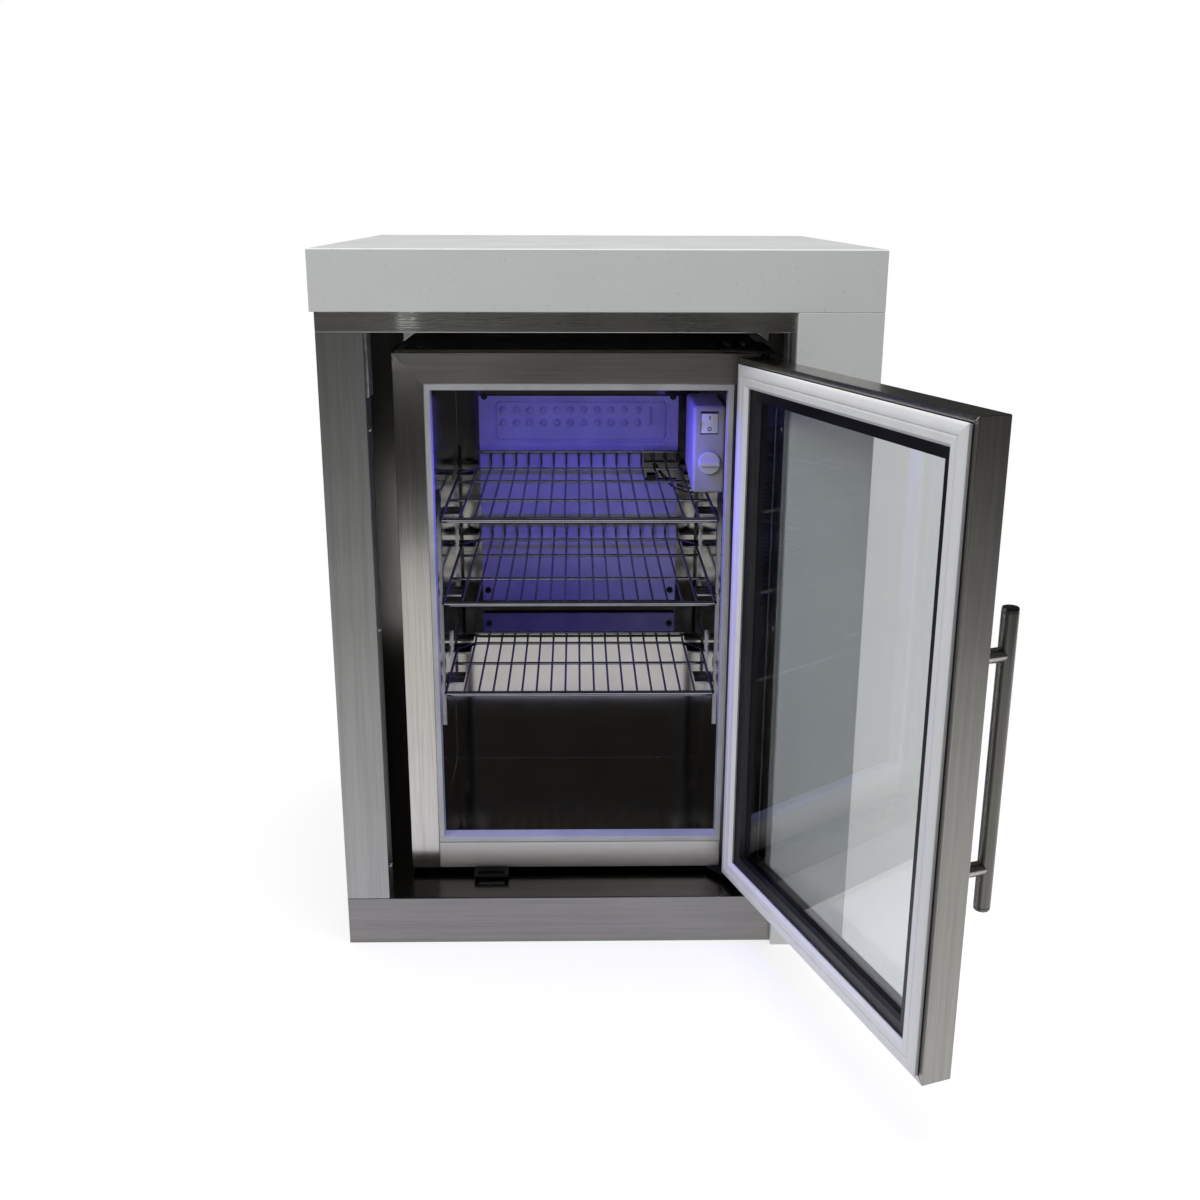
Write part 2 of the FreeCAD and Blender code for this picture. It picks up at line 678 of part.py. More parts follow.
def make_cabinet():
    turn = face + flange_depth
    inside = face + gauge

    # upper rail: a channel with its open side to the back
    rail = [
        (face, rail_under),
        (turn, rail_under),
        (turn, rail_under + gauge),
        (inside, rail_under + gauge),
        (inside, worktop_under - gauge),
        (turn, worktop_under - gauge),
        (turn, worktop_under),
        (face, worktop_under),
    ]
    front_rail = prism("rail", "YZ", (cabinet_left, cabinet_right), rail)
    back_turn = cabinet_back - flange_depth
    back_rail = [
        (back_turn, worktop_under - gauge),
        (cabinet_back - gauge, worktop_under - gauge),
        (cabinet_back - gauge, worktop_under),
        (back_turn, worktop_under),
    ]
    rear_span = (cabinet_left + gauge, cabinet_right - gauge)
    piece("upper_rails", group([front_rail, prism("rear_rail", "YZ", rear_span, back_rail)]))

    # stiles: a face and a return flange beside the opening
    z = (plinth_height, rail_under)
    left_stile = [
        (cabinet_left, face),
        (opening_left, face),
        (opening_left, turn),
        (opening_left - gauge, turn),
        (opening_left - gauge, inside),
        (cabinet_left, inside),
    ]
    piece("stile_left", prism("stile_left", "XY", z, left_stile))
    right_stile = [
        (cabinet_right, face),
        (opening_right, face),
        (opening_right, turn),
        (opening_right + gauge, turn),
        (opening_right + gauge, inside),
        (cabinet_right, inside),
    ]
    piece("stile_right", prism("stile_right", "XY", z, right_stile))

    # sides, back and floor
    side_y = (inside, cabinet_back - gauge)
    side_z = (plinth_height, worktop_under)
    notch_y = (inside, turn)
    rail_notch = (rail_under, worktop_under)
    for name, x in (
        ("cabinet_side_left", (cabinet_left, cabinet_left + gauge)),
        ("cabinet_side_right", (cabinet_right - gauge, cabinet_right)),
    ):
        panel = body(name)
        pad(panel, "XY", side_z, [rectangle(x, side_y)])
        pocket(panel, "XY", rail_notch, [rectangle(x, notch_y)])
        piece(name, panel)

    rear = body("rear_panel")
    rear_y = (cabinet_back - gauge, cabinet_back)
    rear_x = (cabinet_left, cabinet_right)
    pad(rear, "XZ", rear_y, [rectangle(rear_x, side_z)])
    slot_low = plinth_height + 2 * slot_pitch
    slots = pocket(
        rear,
        "XZ",
        rear_y,
        [
            rectangle((middle - slot_length / 2, middle + slot_length / 2), (low, low + slot_height))
            for middle in (case_middle - slot_length * 0.6, case_middle + slot_length * 0.6)
            for low in (slot_low, worktop_under - slot_pitch * (slot_count + 2))
        ],
    )
    pattern(rear, [slots], "Z", slot_pitch * (slot_count - 1), slot_count)
    grommet_x = waterfall_inner - 2 * cable_hole
    grommet_z = plinth_height + 4 * cable_hole
    pocket(rear, "XZ", rear_y, circles=[((grommet_x, grommet_z), cable_hole)])
    piece("cabinet_back", rear)

    lip = cable_hole + grommet_lip
    grommet = [
        (grommet_bore, -grommet_thick),
        (lip, -grommet_thick),
        (lip, as_size(0)),
        (cable_hole, as_size(0)),
        (cable_hole, gauge),
        (lip, gauge),
        (lip, gauge + grommet_thick),
        (grommet_bore, gauge + grommet_thick),
    ]
    start = (grommet_x, cabinet_back - gauge, grommet_z)
    piece("cable_grommet", turned("grommet", "Y", start, grommet))

    pan_low = plinth_height - gauge
    pan_x = (cabinet_left + gauge, cabinet_right - gauge)
    pan = prism("pan", "XY", (pan_low, plinth_height), rectangle(pan_x, side_y))
    piece("floor_pan", pan)

    # plinth: front, two sides and back
    z0 = as_size(0)
    plinth_span = (cabinet_left, cabinet_right)
    plinth = [
        box(plinth_span, (face, inside), (z0, plinth_height)),
        box((cabinet_left, cabinet_left + gauge), side_y, (z0, plinth_height)),
        box((cabinet_right - gauge, cabinet_right), side_y, (z0, plinth_height)),
        box(plinth_span, rear_y, (z0, plinth_height)),
    ]
    piece("plinth", group(plinth))

    # tubes under the floor pan: below the cooler's feet and under the middle
    bearer_y = (cooler_front + 2 * foot_radius, z0, case_back - 2 * foot_radius)
    bearers = [
        tube(pan_x, (y - foot_radius, y + foot_radius), (z0, pan_low), "X") for y in bearer_y
    ]
    piece("pan_bearers", group(bearers))

    # in the opening's upper corners: a hanger plate on each stile, a tab under the rail
    hanger_y = (face + hanger_inset, turn)
    hanger_z = (rail_under - hanger_height, rail_under)
    brackets = [
        box((opening_left, opening_left + hanger_thick), hanger_y, hanger_z),
        box((opening_right - hanger_thick, opening_right), hanger_y, hanger_z),
    ]
    for x, reach in (
        (opening_left + tab_left, tab_width),
        (opening_right - tab_right, -tab_width),
    ):
        corner = [(x, rail_under), (x + reach, rail_under), (x, rail_under - tab_height)]
        brackets.append(prism("tab", "XZ", (turn - gauge, turn), corner))
    piece("corner_gussets", group(brackets))

    bolt_y = face + flange_depth / 2
    bolt_z = (
        plinth_height + bolt_inset,
        (plinth_height + rail_under) / 2,
        rail_under - hanger_height - bolt_inset,
    )
    heads = [
        rod("X", (x, bolt_y, z), bolt_radius, bolt_head)
        for x in (opening_left, opening_right - bolt_head)
        for z in bolt_z
    ]
    piece("cabinet_bolts", group(heads))


# ---------------------------------------------------------------- cooler case


def make_case():
    shell_front = cooler_front + frame_depth
    inner_left = case_left + skin
    inner_right = case_right - skin
    wrap = [
        (case_left, case_low),
        (inner_left, case_low),
        (inner_left, case_top - skin),
        (inner_right, case_top - skin),
        (inner_right, case_low),
        (case_right, case_low),
        (case_right, case_top),
        (case_left, case_top),
    ]
    piece("cooler_case", prism("wrap", "XZ", (shell_front, case_back), wrap))

    # back sheet and base pan, both open at the compressor's pit
    y = (case_back - skin, case_back)
    back_sheet = prism(
        "back_sheet", "XZ", y, rectangle((inner_left, inner_right), (pit_top, case_top - skin))
    )
    piece("cooler_back_sheet", back_sheet)
    z = (case_low, case_low + skin)
    base_y = (shell_front, case_back - skin)
    base = prism("base", "XY", z, rectangle((inner_left, inner_right), base_y))
    piece("cooler_base_pan", base)

    # foam: panels between the case and the liner, and a step over the pit
    foam_low = case_low + skin
    foam_front = cooler_front + breaker_depth
    foam_back = case_back - skin
    out = (inner_left, inner_right)
    foam_top = case_top - skin
    full_y = (foam_front, foam_back)
    inside_x = (liner_left - skin, liner_right + skin)
    wall_z = (liner_floor - skin, liner_top + skin)
    panels = [
        box(out, full_y, (liner_top + skin, foam_top)),
        box((inner_left, inside_x[0]), (foam_front, pit_front), wall_z),
        box((inside_x[1], inner_right), (foam_front, pit_front), wall_z),
        box((inner_left, inside_x[0]), (pit_front, foam_back), (pit_top, wall_z[1])),
        box((inside_x[1], inner_right), (pit_front, foam_back), (pit_top, wall_z[1])),
        box(inside_x, (liner_back + skin, foam_back), (hump_top - skin, wall_z[1])),
        box(out, (foam_front, pit_front), (foam_low, liner_floor - skin)),
        box(inside_x, (hump_front + skin, pit_front), (liner_floor - skin, hump_top - skin)),
        box(inside_x, (pit_front, foam_back), (pit_top, hump_top - skin)),
    ]
    piece("cooler_insulation", group(panels))

    # liner: the outer shape less the inner one, both with the step
    outside = cut(
        box(inside_x, (liner_front, liner_back + skin), wall_z),
        [
            box(
                inside_x,
                (hump_front + skin, liner_back + skin),
                (liner_floor - skin, hump_top - skin),
            )
        ],
    )
    inside = cut(
        box((liner_left, liner_right), (liner_front, liner_back), (liner_floor, liner_top)),
        [box((liner_left, liner_right), (hump_front, liner_back), (liner_floor, hump_top))],
    )
    piece("cooler_liner", cut(outside, [inside]))


def make_front():
    # steel frame: a face with a turned outer edge
    y0 = cooler_front
    section = [
        (0, y0),
        (frame_width, y0),
        (frame_width, y0 + frame_depth),
        (frame_width - gauge, y0 + frame_depth),
        (frame_width - gauge, y0 + gauge),
        (gauge, y0 + gauge),
        (gauge, y0 + frame_depth),
        (0, y0 + frame_depth),
    ]
    section = [(as_size(a), y) for a, y in section]
    ring = (case_left, case_right, case_low, frame_top)
    frame = mitred_ring("frame", ring, section, frame_width, butt=True)
    for side, member in frame.items():
        piece(f"frame_{side}", member)

    # plastic breaker strip between the steel frame and the liner
    lip_y = y0 + breaker_depth
    section = [
        (0, y0),
        (breaker_lip, y0),
        (breaker_lip, lip_y),
        (breaker_lip - breaker_wall, lip_y),
        (breaker_lip - breaker_wall, y0 + breaker_wall),
        (0, y0 + breaker_wall),
    ]
    section = [(as_size(a), y) for a, y in section]
    ring = (
        case_left + frame_width,
        case_right - frame_width,
        case_low + frame_width,
        frame_top - frame_width,
    )
    strip = mitred_ring("breaker", ring, section, breaker_lip)
    piece("breaker_strip", group(list(strip.values())))


# ---------------------------------------------------------------- door


def make_door():
    ring = (leaf_left, leaf_right, door_low, door_top)

    def section(points):
        """Points are (distance in from the door's edge, distance in front of its inner plane)."""
        return [(as_size(a), leaf_inner - v) for a, v in points]

    # steel: an inner lip, the edge, the face and a turned inner edge
    steel = section(
        [
            (0, 0),
            (gasket_inset, 0),
            (gasket_inset, gauge),
            (gauge, gauge),
            (gauge, door_thick - gauge),
            (door_face, door_thick - gauge),
            (door_face, door_thick),
            (0, door_thick),
        ]
    )
    members = mitred_ring("door", ring, steel, door_face)
    hole = pin_radius + pin_fit + bush_wall
    slot_x = (lock_x - cam_width, lock_x + cam_length)
    slot_y = (leaf_inner - cam_inset - 2 * cam_thick, leaf_inner - gauge)
    cap_z = (door_top - gauge, door_top)
    foot_z = (door_low, door_low + gauge)
    pocket(members["top"], "XY", cap_z, circles=[((0, 0), hole)])
    pocket(members["bottom"], "XY", foot_z, circles=[((0, 0), hole)])
    pocket(members["bottom"], "XY", foot_z, [rectangle(slot_x, slot_y)])
    face_y = (leaf_front, leaf_front + gauge)
    lock_z = door_low + lock_height
    pocket(members["bottom"], "XZ", face_y, circles=[((lock_x, lock_z), lock_radius + lock_play)])
    for side, member in members.items():
        piece(f"door_{side}", on_door(member))

    # plastic core that fills the steel, carries the gasket and holds the panes
    core = section(
        [
            (gauge, gauge),
            (gasket_inset, gauge),
            (gasket_inset, 0),
            (door_rim, 0),
            (door_rim, pane_inset),
            (glass_edge, pane_inset),
            (glass_edge, door_thick - gauge),
            (gauge, door_thick - gauge),
        ]
    )
    members = mitred_ring("core", ring, core, door_rim)
    bush_top = (door_top - pin_reach - pit_play, door_top - gauge)
    bush_low = (door_low + gauge, door_low + pin_reach + pit_play)
    pits = (("top", bush_top), ("right", bush_top), ("bottom", bush_low), ("right", bush_low))
    for side, z in pits:
        pocket(members[side], "XY", z, circles=[((0, 0), hole)])
    lock_pit = rectangle(
        (lock_x - cam_length - pit_play, lock_x + cam_length + pit_play),
        (leaf_front + gauge, leaf_inner - cam_inset + pit_play / 2),
    )
    pit_z = (door_low + gauge, door_low + glass_edge - pit_play)
    pocket(members["bottom"], "XY", pit_z, [lock_pit])
    piece("door_core", on_door(group(list(members.values()))))

    # bushes for the hinge pins
    bore = pin_radius + pin_fit
    bushes = []
    for low, high in ((door_low, bush_low[1]), (bush_top[0], door_top)):
        bush = body("bush")
        pad(bush, "XY", (low, high), circles=[((0, 0), hole), ((0, 0), bore)])
        bushes.append(bush)
    piece("hinge_bushes", on_door(group(bushes)))

    # gasket with a grooved face and a fold down its outer side; the face falls away towards the
    # outer edge, which swings past the front frame as the door closes
    proud = gasket_proud
    outer = gasket_inset
    inner = gasket_inset + gasket_width
    middle = gasket_inset + gasket_width * 0.52
    seal = section(
        [
            (outer + 2, 0),
            (outer + 2, -proud * 0.25),
            (outer + 0.6, -proud * 0.4),
            (outer + 1.4, -proud * 0.5),
            (outer, -proud * 0.6),
            (outer, -proud * 0.7),
            (outer + 3.5, -proud * 0.86),
            (outer + 8, -proud),
            (middle - 1.2, -proud),
            (middle, -proud * 0.75),
            (middle + 1.2, -proud),
            (inner - 4, -proud),
            (inner, -proud * 0.45),
            (inner - 2, 0),
        ]
    )
    gasket = mitred_ring("gasket", ring, seal, inner)
    piece("door_gasket", on_door(group(list(gasket.values()))))

    # two panes and the spacer between them
    x = (leaf_left + glass_edge, leaf_right - glass_edge)
    z = (door_low + glass_edge, door_top - glass_edge)
    inner_y = (leaf_inner - pane_inset - pane, leaf_inner - pane_inset)
    outer_y = (leaf_front + gauge, leaf_front + gauge + pane)
    piece("glass_inner", on_door(prism("pane", "XZ", inner_y, rectangle(x, z))))
    piece("glass_outer", on_door(prism("pane", "XZ", outer_y, rectangle(x, z))))
    low_a = spacer_inset
    high_a = spacer_inset + spacer_width
    bar = [(low_a, outer_y[1]), (high_a, outer_y[1]), (high_a, inner_y[0]), (low_a, inner_y[0])]
    spacer = mitred_ring("spacer", (x[0], x[1], z[0], z[1]), bar, high_a)
    piece("glass_spacer", on_door(group(list(spacer.values()))))


def make_handle():
    x = leaf_left + handle_inset
    y = leaf_front - handle_reach
    low = door_low + handle_low
    tube = body("handle")
    pad(
        tube,
        "XY",
        (low + handle_cap, low + handle_length - handle_cap),
        circles=[((x, y), handle_radius), ((x, y), handle_radius - handle_wall)],
    )
    caps = [
        rod("Z", (x, y, z), handle_radius, handle_cap)
        for z in (low, low + handle_length - handle_cap)
    ]
    piece("handle_bar", on_door(group([tube] + caps)))
    posts = []
    for z in (low + post_inset, low + handle_length - post_inset):
        post = rod("Y", (x, y, z), post_radius, handle_reach)
        bar = rod("Z", (x, y, z - 2 * post_radius), handle_radius, 4 * post_radius)
        posts.append(cut(post, [bar]))
    piece("handle_posts", on_door(group(posts)))


def make_lock():
    z = door_low + lock_height
    cam_back = leaf_inner - cam_inset
    cam_front = cam_back - cam_thick
    barrel_front = leaf_front - lock_proud
    barrel = rod("Y", (lock_x, barrel_front, z), lock_radius, cam_front - barrel_front)
    cam = box(
        (lock_x - cam_width / 2, lock_x + cam_length),
        (cam_front, cam_back),
        (z - cam_width / 2, z + cam_width / 2),
    )
    key_slot = box(
        (lock_x - key_width / 2, lock_x + key_width / 2),
        (barrel_front, barrel_front + key_depth),
        (z - key_height / 2, z + key_height / 2),
    )
    piece("lock_barrel", on_door(cut(fuse([barrel, cam]), [key_slot])))

    strike = body("strike")
    strike_x = hinge_x + lock_x + cam_length / 3
    across = (strike_x - strike_width / 2, strike_x + strike_width / 2)
    along = (cooler_front - strike_reach, cooler_front + strike_reach)
    z_span = (case_low - strike_thick, case_low)
    pad(strike, "XY", z_span, [rectangle(across, along)])
    cam_y = hinge_y + cam_front
    slot = rectangle(
        (hinge_x + lock_x - cam_width, hinge_x + lock_x + cam_length - pit_play),
        (cam_y - cam_thick, cam_y + 2 * cam_thick),
    )
    pocket(strike, "XY", z_span, [slot])
    piece("lock_strike", strike)


def make_hinges():
    x = (hinge_x + bracket_side - bracket_width, hinge_x + bracket_side)
    y0 = hinge_y - bracket_nose
    top_z = (case_top, case_top + bracket_thick)
    low_z = (case_low - bracket_thick, case_low)
    top_y = (y0, cooler_front + bracket_back)
    low_y = (y0, cooler_front + bracket_lap)
    ends = (
        ("hinge_bracket_top", top_z, top_y, (door_top - pin_reach, top_z[1])),
        ("hinge_bracket_bottom", low_z, low_y, (low_z[0], door_low + pin_reach)),
    )
    for name, z, y, pin_z in ends:
        corner = [
            (x[0], y[1]),
            (x[0], cooler_front),
            (hinge_x - bracket_side, y0),
            (x[1] - bracket_corner, y0),
            (x[1], y0 + bracket_corner),
            (x[1], y[1]),
        ]
        plate = prism(name, "XY", z, corner)
        pocket(plate, "XY", z, circles=[((hinge_x, hinge_y), pin_radius)])
        pin = rod("Z", (hinge_x, hinge_y, pin_z[0]), pin_radius, pin_z[1] - pin_z[0])
        piece(name, group([plate, pin]))
    screws = [
        rod("Z", (x[0] + dx, cooler_front + dy, top_z[1]), screw_radius, screw_head)
        for dx in (12, 33)
        for dy in (30, 58)
    ]
    plugs = [
        rod("Z", (case_left + dx, cooler_front + dy, case_top), plug_radius, plug_head)
        for dx, dy in ((10, 20), (32, 30), (10, 48))
    ]
    piece("case_screws", group(screws + plugs))


# ---------------------------------------------------------------- inside the cooler


def make_shelf(name, height, y1, upstand, ties):
    """A welded wire shelf: long wires turned up at the rear end y1, over cross wires."""
    z = liner_floor + height
    wall_gap = pilaster_thick + shelf_play
    x0 = larger(mouth_left + shelf_play, liner_left + wall_gap)
    x1 = smaller(mouth_right - shelf_play, liner_right - wall_gap)
    y0 = cooler_front + shelf_front
    first = x0 + wire_inset
    last = x1 - wire_inset
    corner_y = y1 - shelf_bend
    corner_z = z + shelf_bend
    shelf = body(name)

    path = sketch_on(shelf, "YZ", first)
    ends = [(y0, z), (corner_y, z), (y1, corner_z), (y1, z + upstand)]
    ends = [Vector(float(u), float(v), 0) for u, v in ends]
    centre = Vector(ends[1].x, ends[2].y, 0)
    round_it = Part.Circle(centre, Vector(0, 0, 1), float(shelf_bend))
    path.addGeometry(Part.LineSegment(ends[0], ends[1]))
    path.addGeometry(Part.ArcOfCircle(round_it, -math.pi / 2, 0))
    path.addGeometry(Part.LineSegment(ends[2], ends[3]))
    path.addConstraint(Sketcher.Constraint("Coincident", 0, 2, 1, 1))
    path.addConstraint(Sketcher.Constraint("Coincident", 1, 2, 2, 1))
    pin_down(path, "DistanceX", "front_y", (-1, 1, 0, 1), y0)
    pin_down(path, "DistanceY", "front_z", (-1, 1, 0, 1), z)
    pin_down(path, "DistanceX", "corner_y", (-1, 1, 0, 2), corner_y)
    pin_down(path, "DistanceY", "level_z", (-1, 1, 0, 2), z)
    pin_down(path, "DistanceX", "centre_y", (-1, 1, 1, 3), corner_y)
    pin_down(path, "DistanceY", "centre_z", (-1, 1, 1, 3), corner_z)
    pin_down(path, "DistanceY", "bend_z", (-1, 1, 1, 2), corner_z)
    pin_down(path, "DistanceX", "rear_y", (-1, 1, 2, 2), y1)
    pin_down(path, "DistanceY", "rear_z", (-1, 1, 2, 2), z + upstand)
    ring = sketch_on(shelf, "XZ", -y0)
    circle(ring, (first, z), wire)
    sweep = shelf.newObject("PartDesign::AdditivePipe", "long_wire")
    sweep.Profile = ring
    sweep.Spine = (path, ["Edge1", "Edge2", "Edge3"])
    shelf.Tip = sweep
    doc.recompute()
    pattern(shelf, [sweep], "X", last - first, wire_count)

    under = z - wire - cross_wire + weld_sink
    rows = [((y0 + cross_spacing * i, under), cross_wire) for i in range(1, ties + 1)]
    rows.append(((corner_y - 2 * cross_wire, under), cross_wire))
    rows.append(((y0, z), front_wire))
    pad(shelf, "YZ", (x0, x1), circles=rows)
    upper = ((y1, z + upstand), cross_wire)
    pad(shelf, "YZ", (first - cross_wire, last + cross_wire), circles=[upper])
    side_wires = [((x, under), cross_wire) for x in (x0 + cross_wire, x1 - cross_wire)]
    pad(shelf, "XZ", (y0, corner_y), circles=side_wires)
    return piece(name, shelf)


def make_shelves():
    low = scaled(shelf_low)
    upper = (scaled(shelf_mid), scaled(shelf_high))
    full = liner_back - shelf_rear
    make_shelf("shelf_bottom", low, hump_front - low_shelf_rear, low_shelf_upstand, 1)
    make_shelf("shelf_middle", upper[0], full, shelf_upstand, 2)
    make_shelf("shelf_top", upper[1], full, shelf_upstand, 2)

    # front pilasters, rear ones over the step, and short ones in front of it
    z0 = liner_floor + scaled(pilaster_low)
    z1 = liner_top - scaled(pilaster_high)
    rows = (
        (cooler_front + pilaster_front, (z0, z1), notch_count, (low,) + upper),
        (liner_back - pilaster_rear, (hump_top + scaled(rear_lift), z1), rear_notch_count, upper),
        (hump_front - short_place, (z0, z0 + scaled(short_length)), short_notch_count, (low,)),
    )
    strips = []
    clips = []
    for side in (1, -1):
        wall = liner_left if side == 1 else liner_right
        inner = wall + side * pilaster_thick
        across = (wall, inner) if side == 1 else (inner, wall)
        for middle, z, notch_total, heights in rows:
            strip = body("pilaster")
            width = (middle - pilaster_width / 2, middle + pilaster_width / 2)
            pad(strip, "XY", z, [rectangle(across, width)])
            notch = rectangle(
                (middle - notch_across / 2, middle + notch_across / 2),
                (z[0] + notch_start, z[0] + notch_start + notch_tall),
            )
            notches = pocket(strip, "YZ", across, [notch])
            rise = scaled(notch_pitch) * (notch_total - 1)
            pattern(strip, [notches], "Z", rise, notch_total)
            strips.append(strip)
            for height in heights:
                top = liner_floor + height - wire - 2 * cross_wire + weld_sink - clip_gap
                reach = inner + side * clip_reach
                hook = [
                    (inner, top - clip_drop),
                    (inner + side * clip_thick, top - clip_drop),
                    (inner + side * clip_thick, top - clip_thick),
                    (reach, top - clip_thick),
                    (reach, top),
                    (inner, top),
                ]
                clip_y = (middle - clip_width / 2, middle + clip_width / 2)
                clips.append(prism("clip", "XZ", clip_y, hook))
    piece("shelf_pilasters", group(strips))
    piece("shelf_clips", group(clips))


def make_evaporator():
    x = (liner_left + plate_side, liner_right - plate_side)
    plate_high = liner_top - scaled(plate_top)
    z = (plate_high - scaled(plate_height), plate_high)
    y = (liner_back - plate_gap - plate_thick, liner_back - plate_gap)
    plate = body("evaporator")
    pad(plate, "XZ", y, [rectangle(x, z)])

    def rounded(inset):
        """The groove's panel drawn in by a distance, with its corners taken off."""
        x0 = x[0] + panel_left + inset
        x1 = x[1] - panel_right - inset
        z1 = z[1] - panel_top - inset
        z0 = z[1] - panel_top - scaled(panel_height) + inset
        return [
            (x0 + panel_corner, z0),
            (x1 - panel_corner, z0),
            (x1, z0 + panel_corner),
            (x1, z1 - panel_corner),
            (x1 - panel_corner, z1),
            (x0 + panel_corner, z1),
            (x0, z1 - panel_corner),
            (x0, z0 + panel_corner),
        ]

    # the notch for the sensor, and the groove round the pressed panel
    notch_high = z[1] - scaled(notch_drop)
    notch = (notch_high - scaled(notch_height), notch_high)
    pocket(plate, "XZ", y, [rectangle((x[1] - notch_width, x[1]), notch)])
    groove = (y[0], y[0] + plate_thick / 2)
    pocket(plate, "XZ", groove, [rounded(as_size(0)), rounded(groove_width)])

    # two rows of bumps, and a rib after them
    bump_y = (y[0] - plate_thick / 2, y[0])
    bump_x = x[0] + bump_inset
    upper = z[1] - bump_drop
    lower = upper - bump_rows
    for level in (upper, lower):
        bump = pad(plate, "XZ", bump_y, circles=[((bump_x, level), bump_radius)])
        pattern(plate, [bump], "X", bump_pitch * (bump_count - 1), bump_count)
    rib = bump_x + bump_pitch * bump_count
    pad(plate, "XZ", bump_y, [rectangle((rib - rib_width, rib), (lower, upper))])
    piece("evaporator_plate", plate)

    # spacers behind, heads in front, and the clip that holds the thermostat's sensor
    fixings = []
    for sx in (x[0] + fixing_inset, x[1] - fixing_inset):
        for sz in (z[0] + 2 * fixing_inset, z[1] - fixing_drop):
            fixings.append(rod("Y", (sx, y[1], sz), fixing_radius, plate_gap))
            fixings.append(rod("Y", (sx, y[0] - head_thick, sz), fixing_radius, head_thick))
    holder = x[1] - notch_width + holder_inset
    holder_z = (notch[0] - holder_lap, notch[0] - holder_lap + holder_height)
    fixings.append(box((holder, holder + holder_width), (y[0] - holder_thick, y[0]), holder_z))
    piece("evaporator_fixings", group(fixings))


def make_controls():
    x = (liner_right - control_width, liner_right)
    y = (cooler_front + control_front, cooler_front + control_front + control_depth)
    control_high = liner_top - scaled(control_drop)
    z = (control_high - scaled(control_height), control_high)
    middle = x[0] + control_width / 2
    switch_z = liner_top - scaled(switch_drop)
    knob_z = liner_top - scaled(knob_drop)
    case = body("control_box")
    slope = [(y[0], z[0]), (y[1], z[0] + control_slope), (y[1], z[1]), (y[0], z[1])]
    pad(case, "YZ", x, [slope])
    hole = rectangle(
        (middle - switch_width / 2 - switch_play, middle + switch_width / 2 + switch_play),
        (switch_z - switch_height / 2 - switch_play, switch_z + switch_height / 2 + switch_play),
    )
    pocket(case, "XZ", (y[0], y[0] + switch_recess), [hole])
    piece("control_box", case)

    pivot = y[0] + 3
    half = switch_height / 2
    rocker = [
        (pivot - 6, switch_z + half - 2),
        (pivot - 1, switch_z),
        (pivot - 3, switch_z - half + 1),
        (pivot + 2, switch_z - half + 1),
        (pivot + 5, switch_z),
        (pivot - 1, switch_z + half - 2),
    ]
    across = (middle - switch_width / 2, middle + switch_width / 2)
    piece("light_switch", prism("rocker", "YZ", across, rocker))

    knob_front = y[0] - knob_gap - knob_length
    disc_front = y[0] - knob_gap - knob_length / 2
    disc = rod("Y", (middle, disc_front, knob_z), knob_radius, knob_length / 2)
    ridge_x = (middle - knob_radius + ridge_inset, middle + knob_radius - ridge_inset)
    ridge = box(ridge_x, (knob_front, disc_front), (knob_z - ridge_half, knob_z + ridge_half))
    dial = fuse([disc, ridge])
    piece("thermostat_knob", dial)

    lamp_x = (case_middle - lamp_length / 2, case_middle + lamp_length / 2)
    lamp_y = (liner_front + lamp_inset, liner_front + lamp_inset + lamp_depth)
    body_z = (liner_top - lamp_height / 2, liner_top)
    lens_z = (liner_top - lamp_height, liner_top - lamp_height / 2)
    piece("lamp_housing", prism("lamp", "XY", body_z, rectangle(lamp_x, lamp_y)))
    lens_x = (lamp_x[0] + lens_inset, lamp_x[1] - lens_inset)
    lens_y = (lamp_y[0] + lens_inset, lamp_y[1] - lens_inset)
    piece("lamp_lens", prism("lens", "XY", lens_z, rectangle(lens_x, lens_y)))


# ---------------------------------------------------------------- underneath and behind


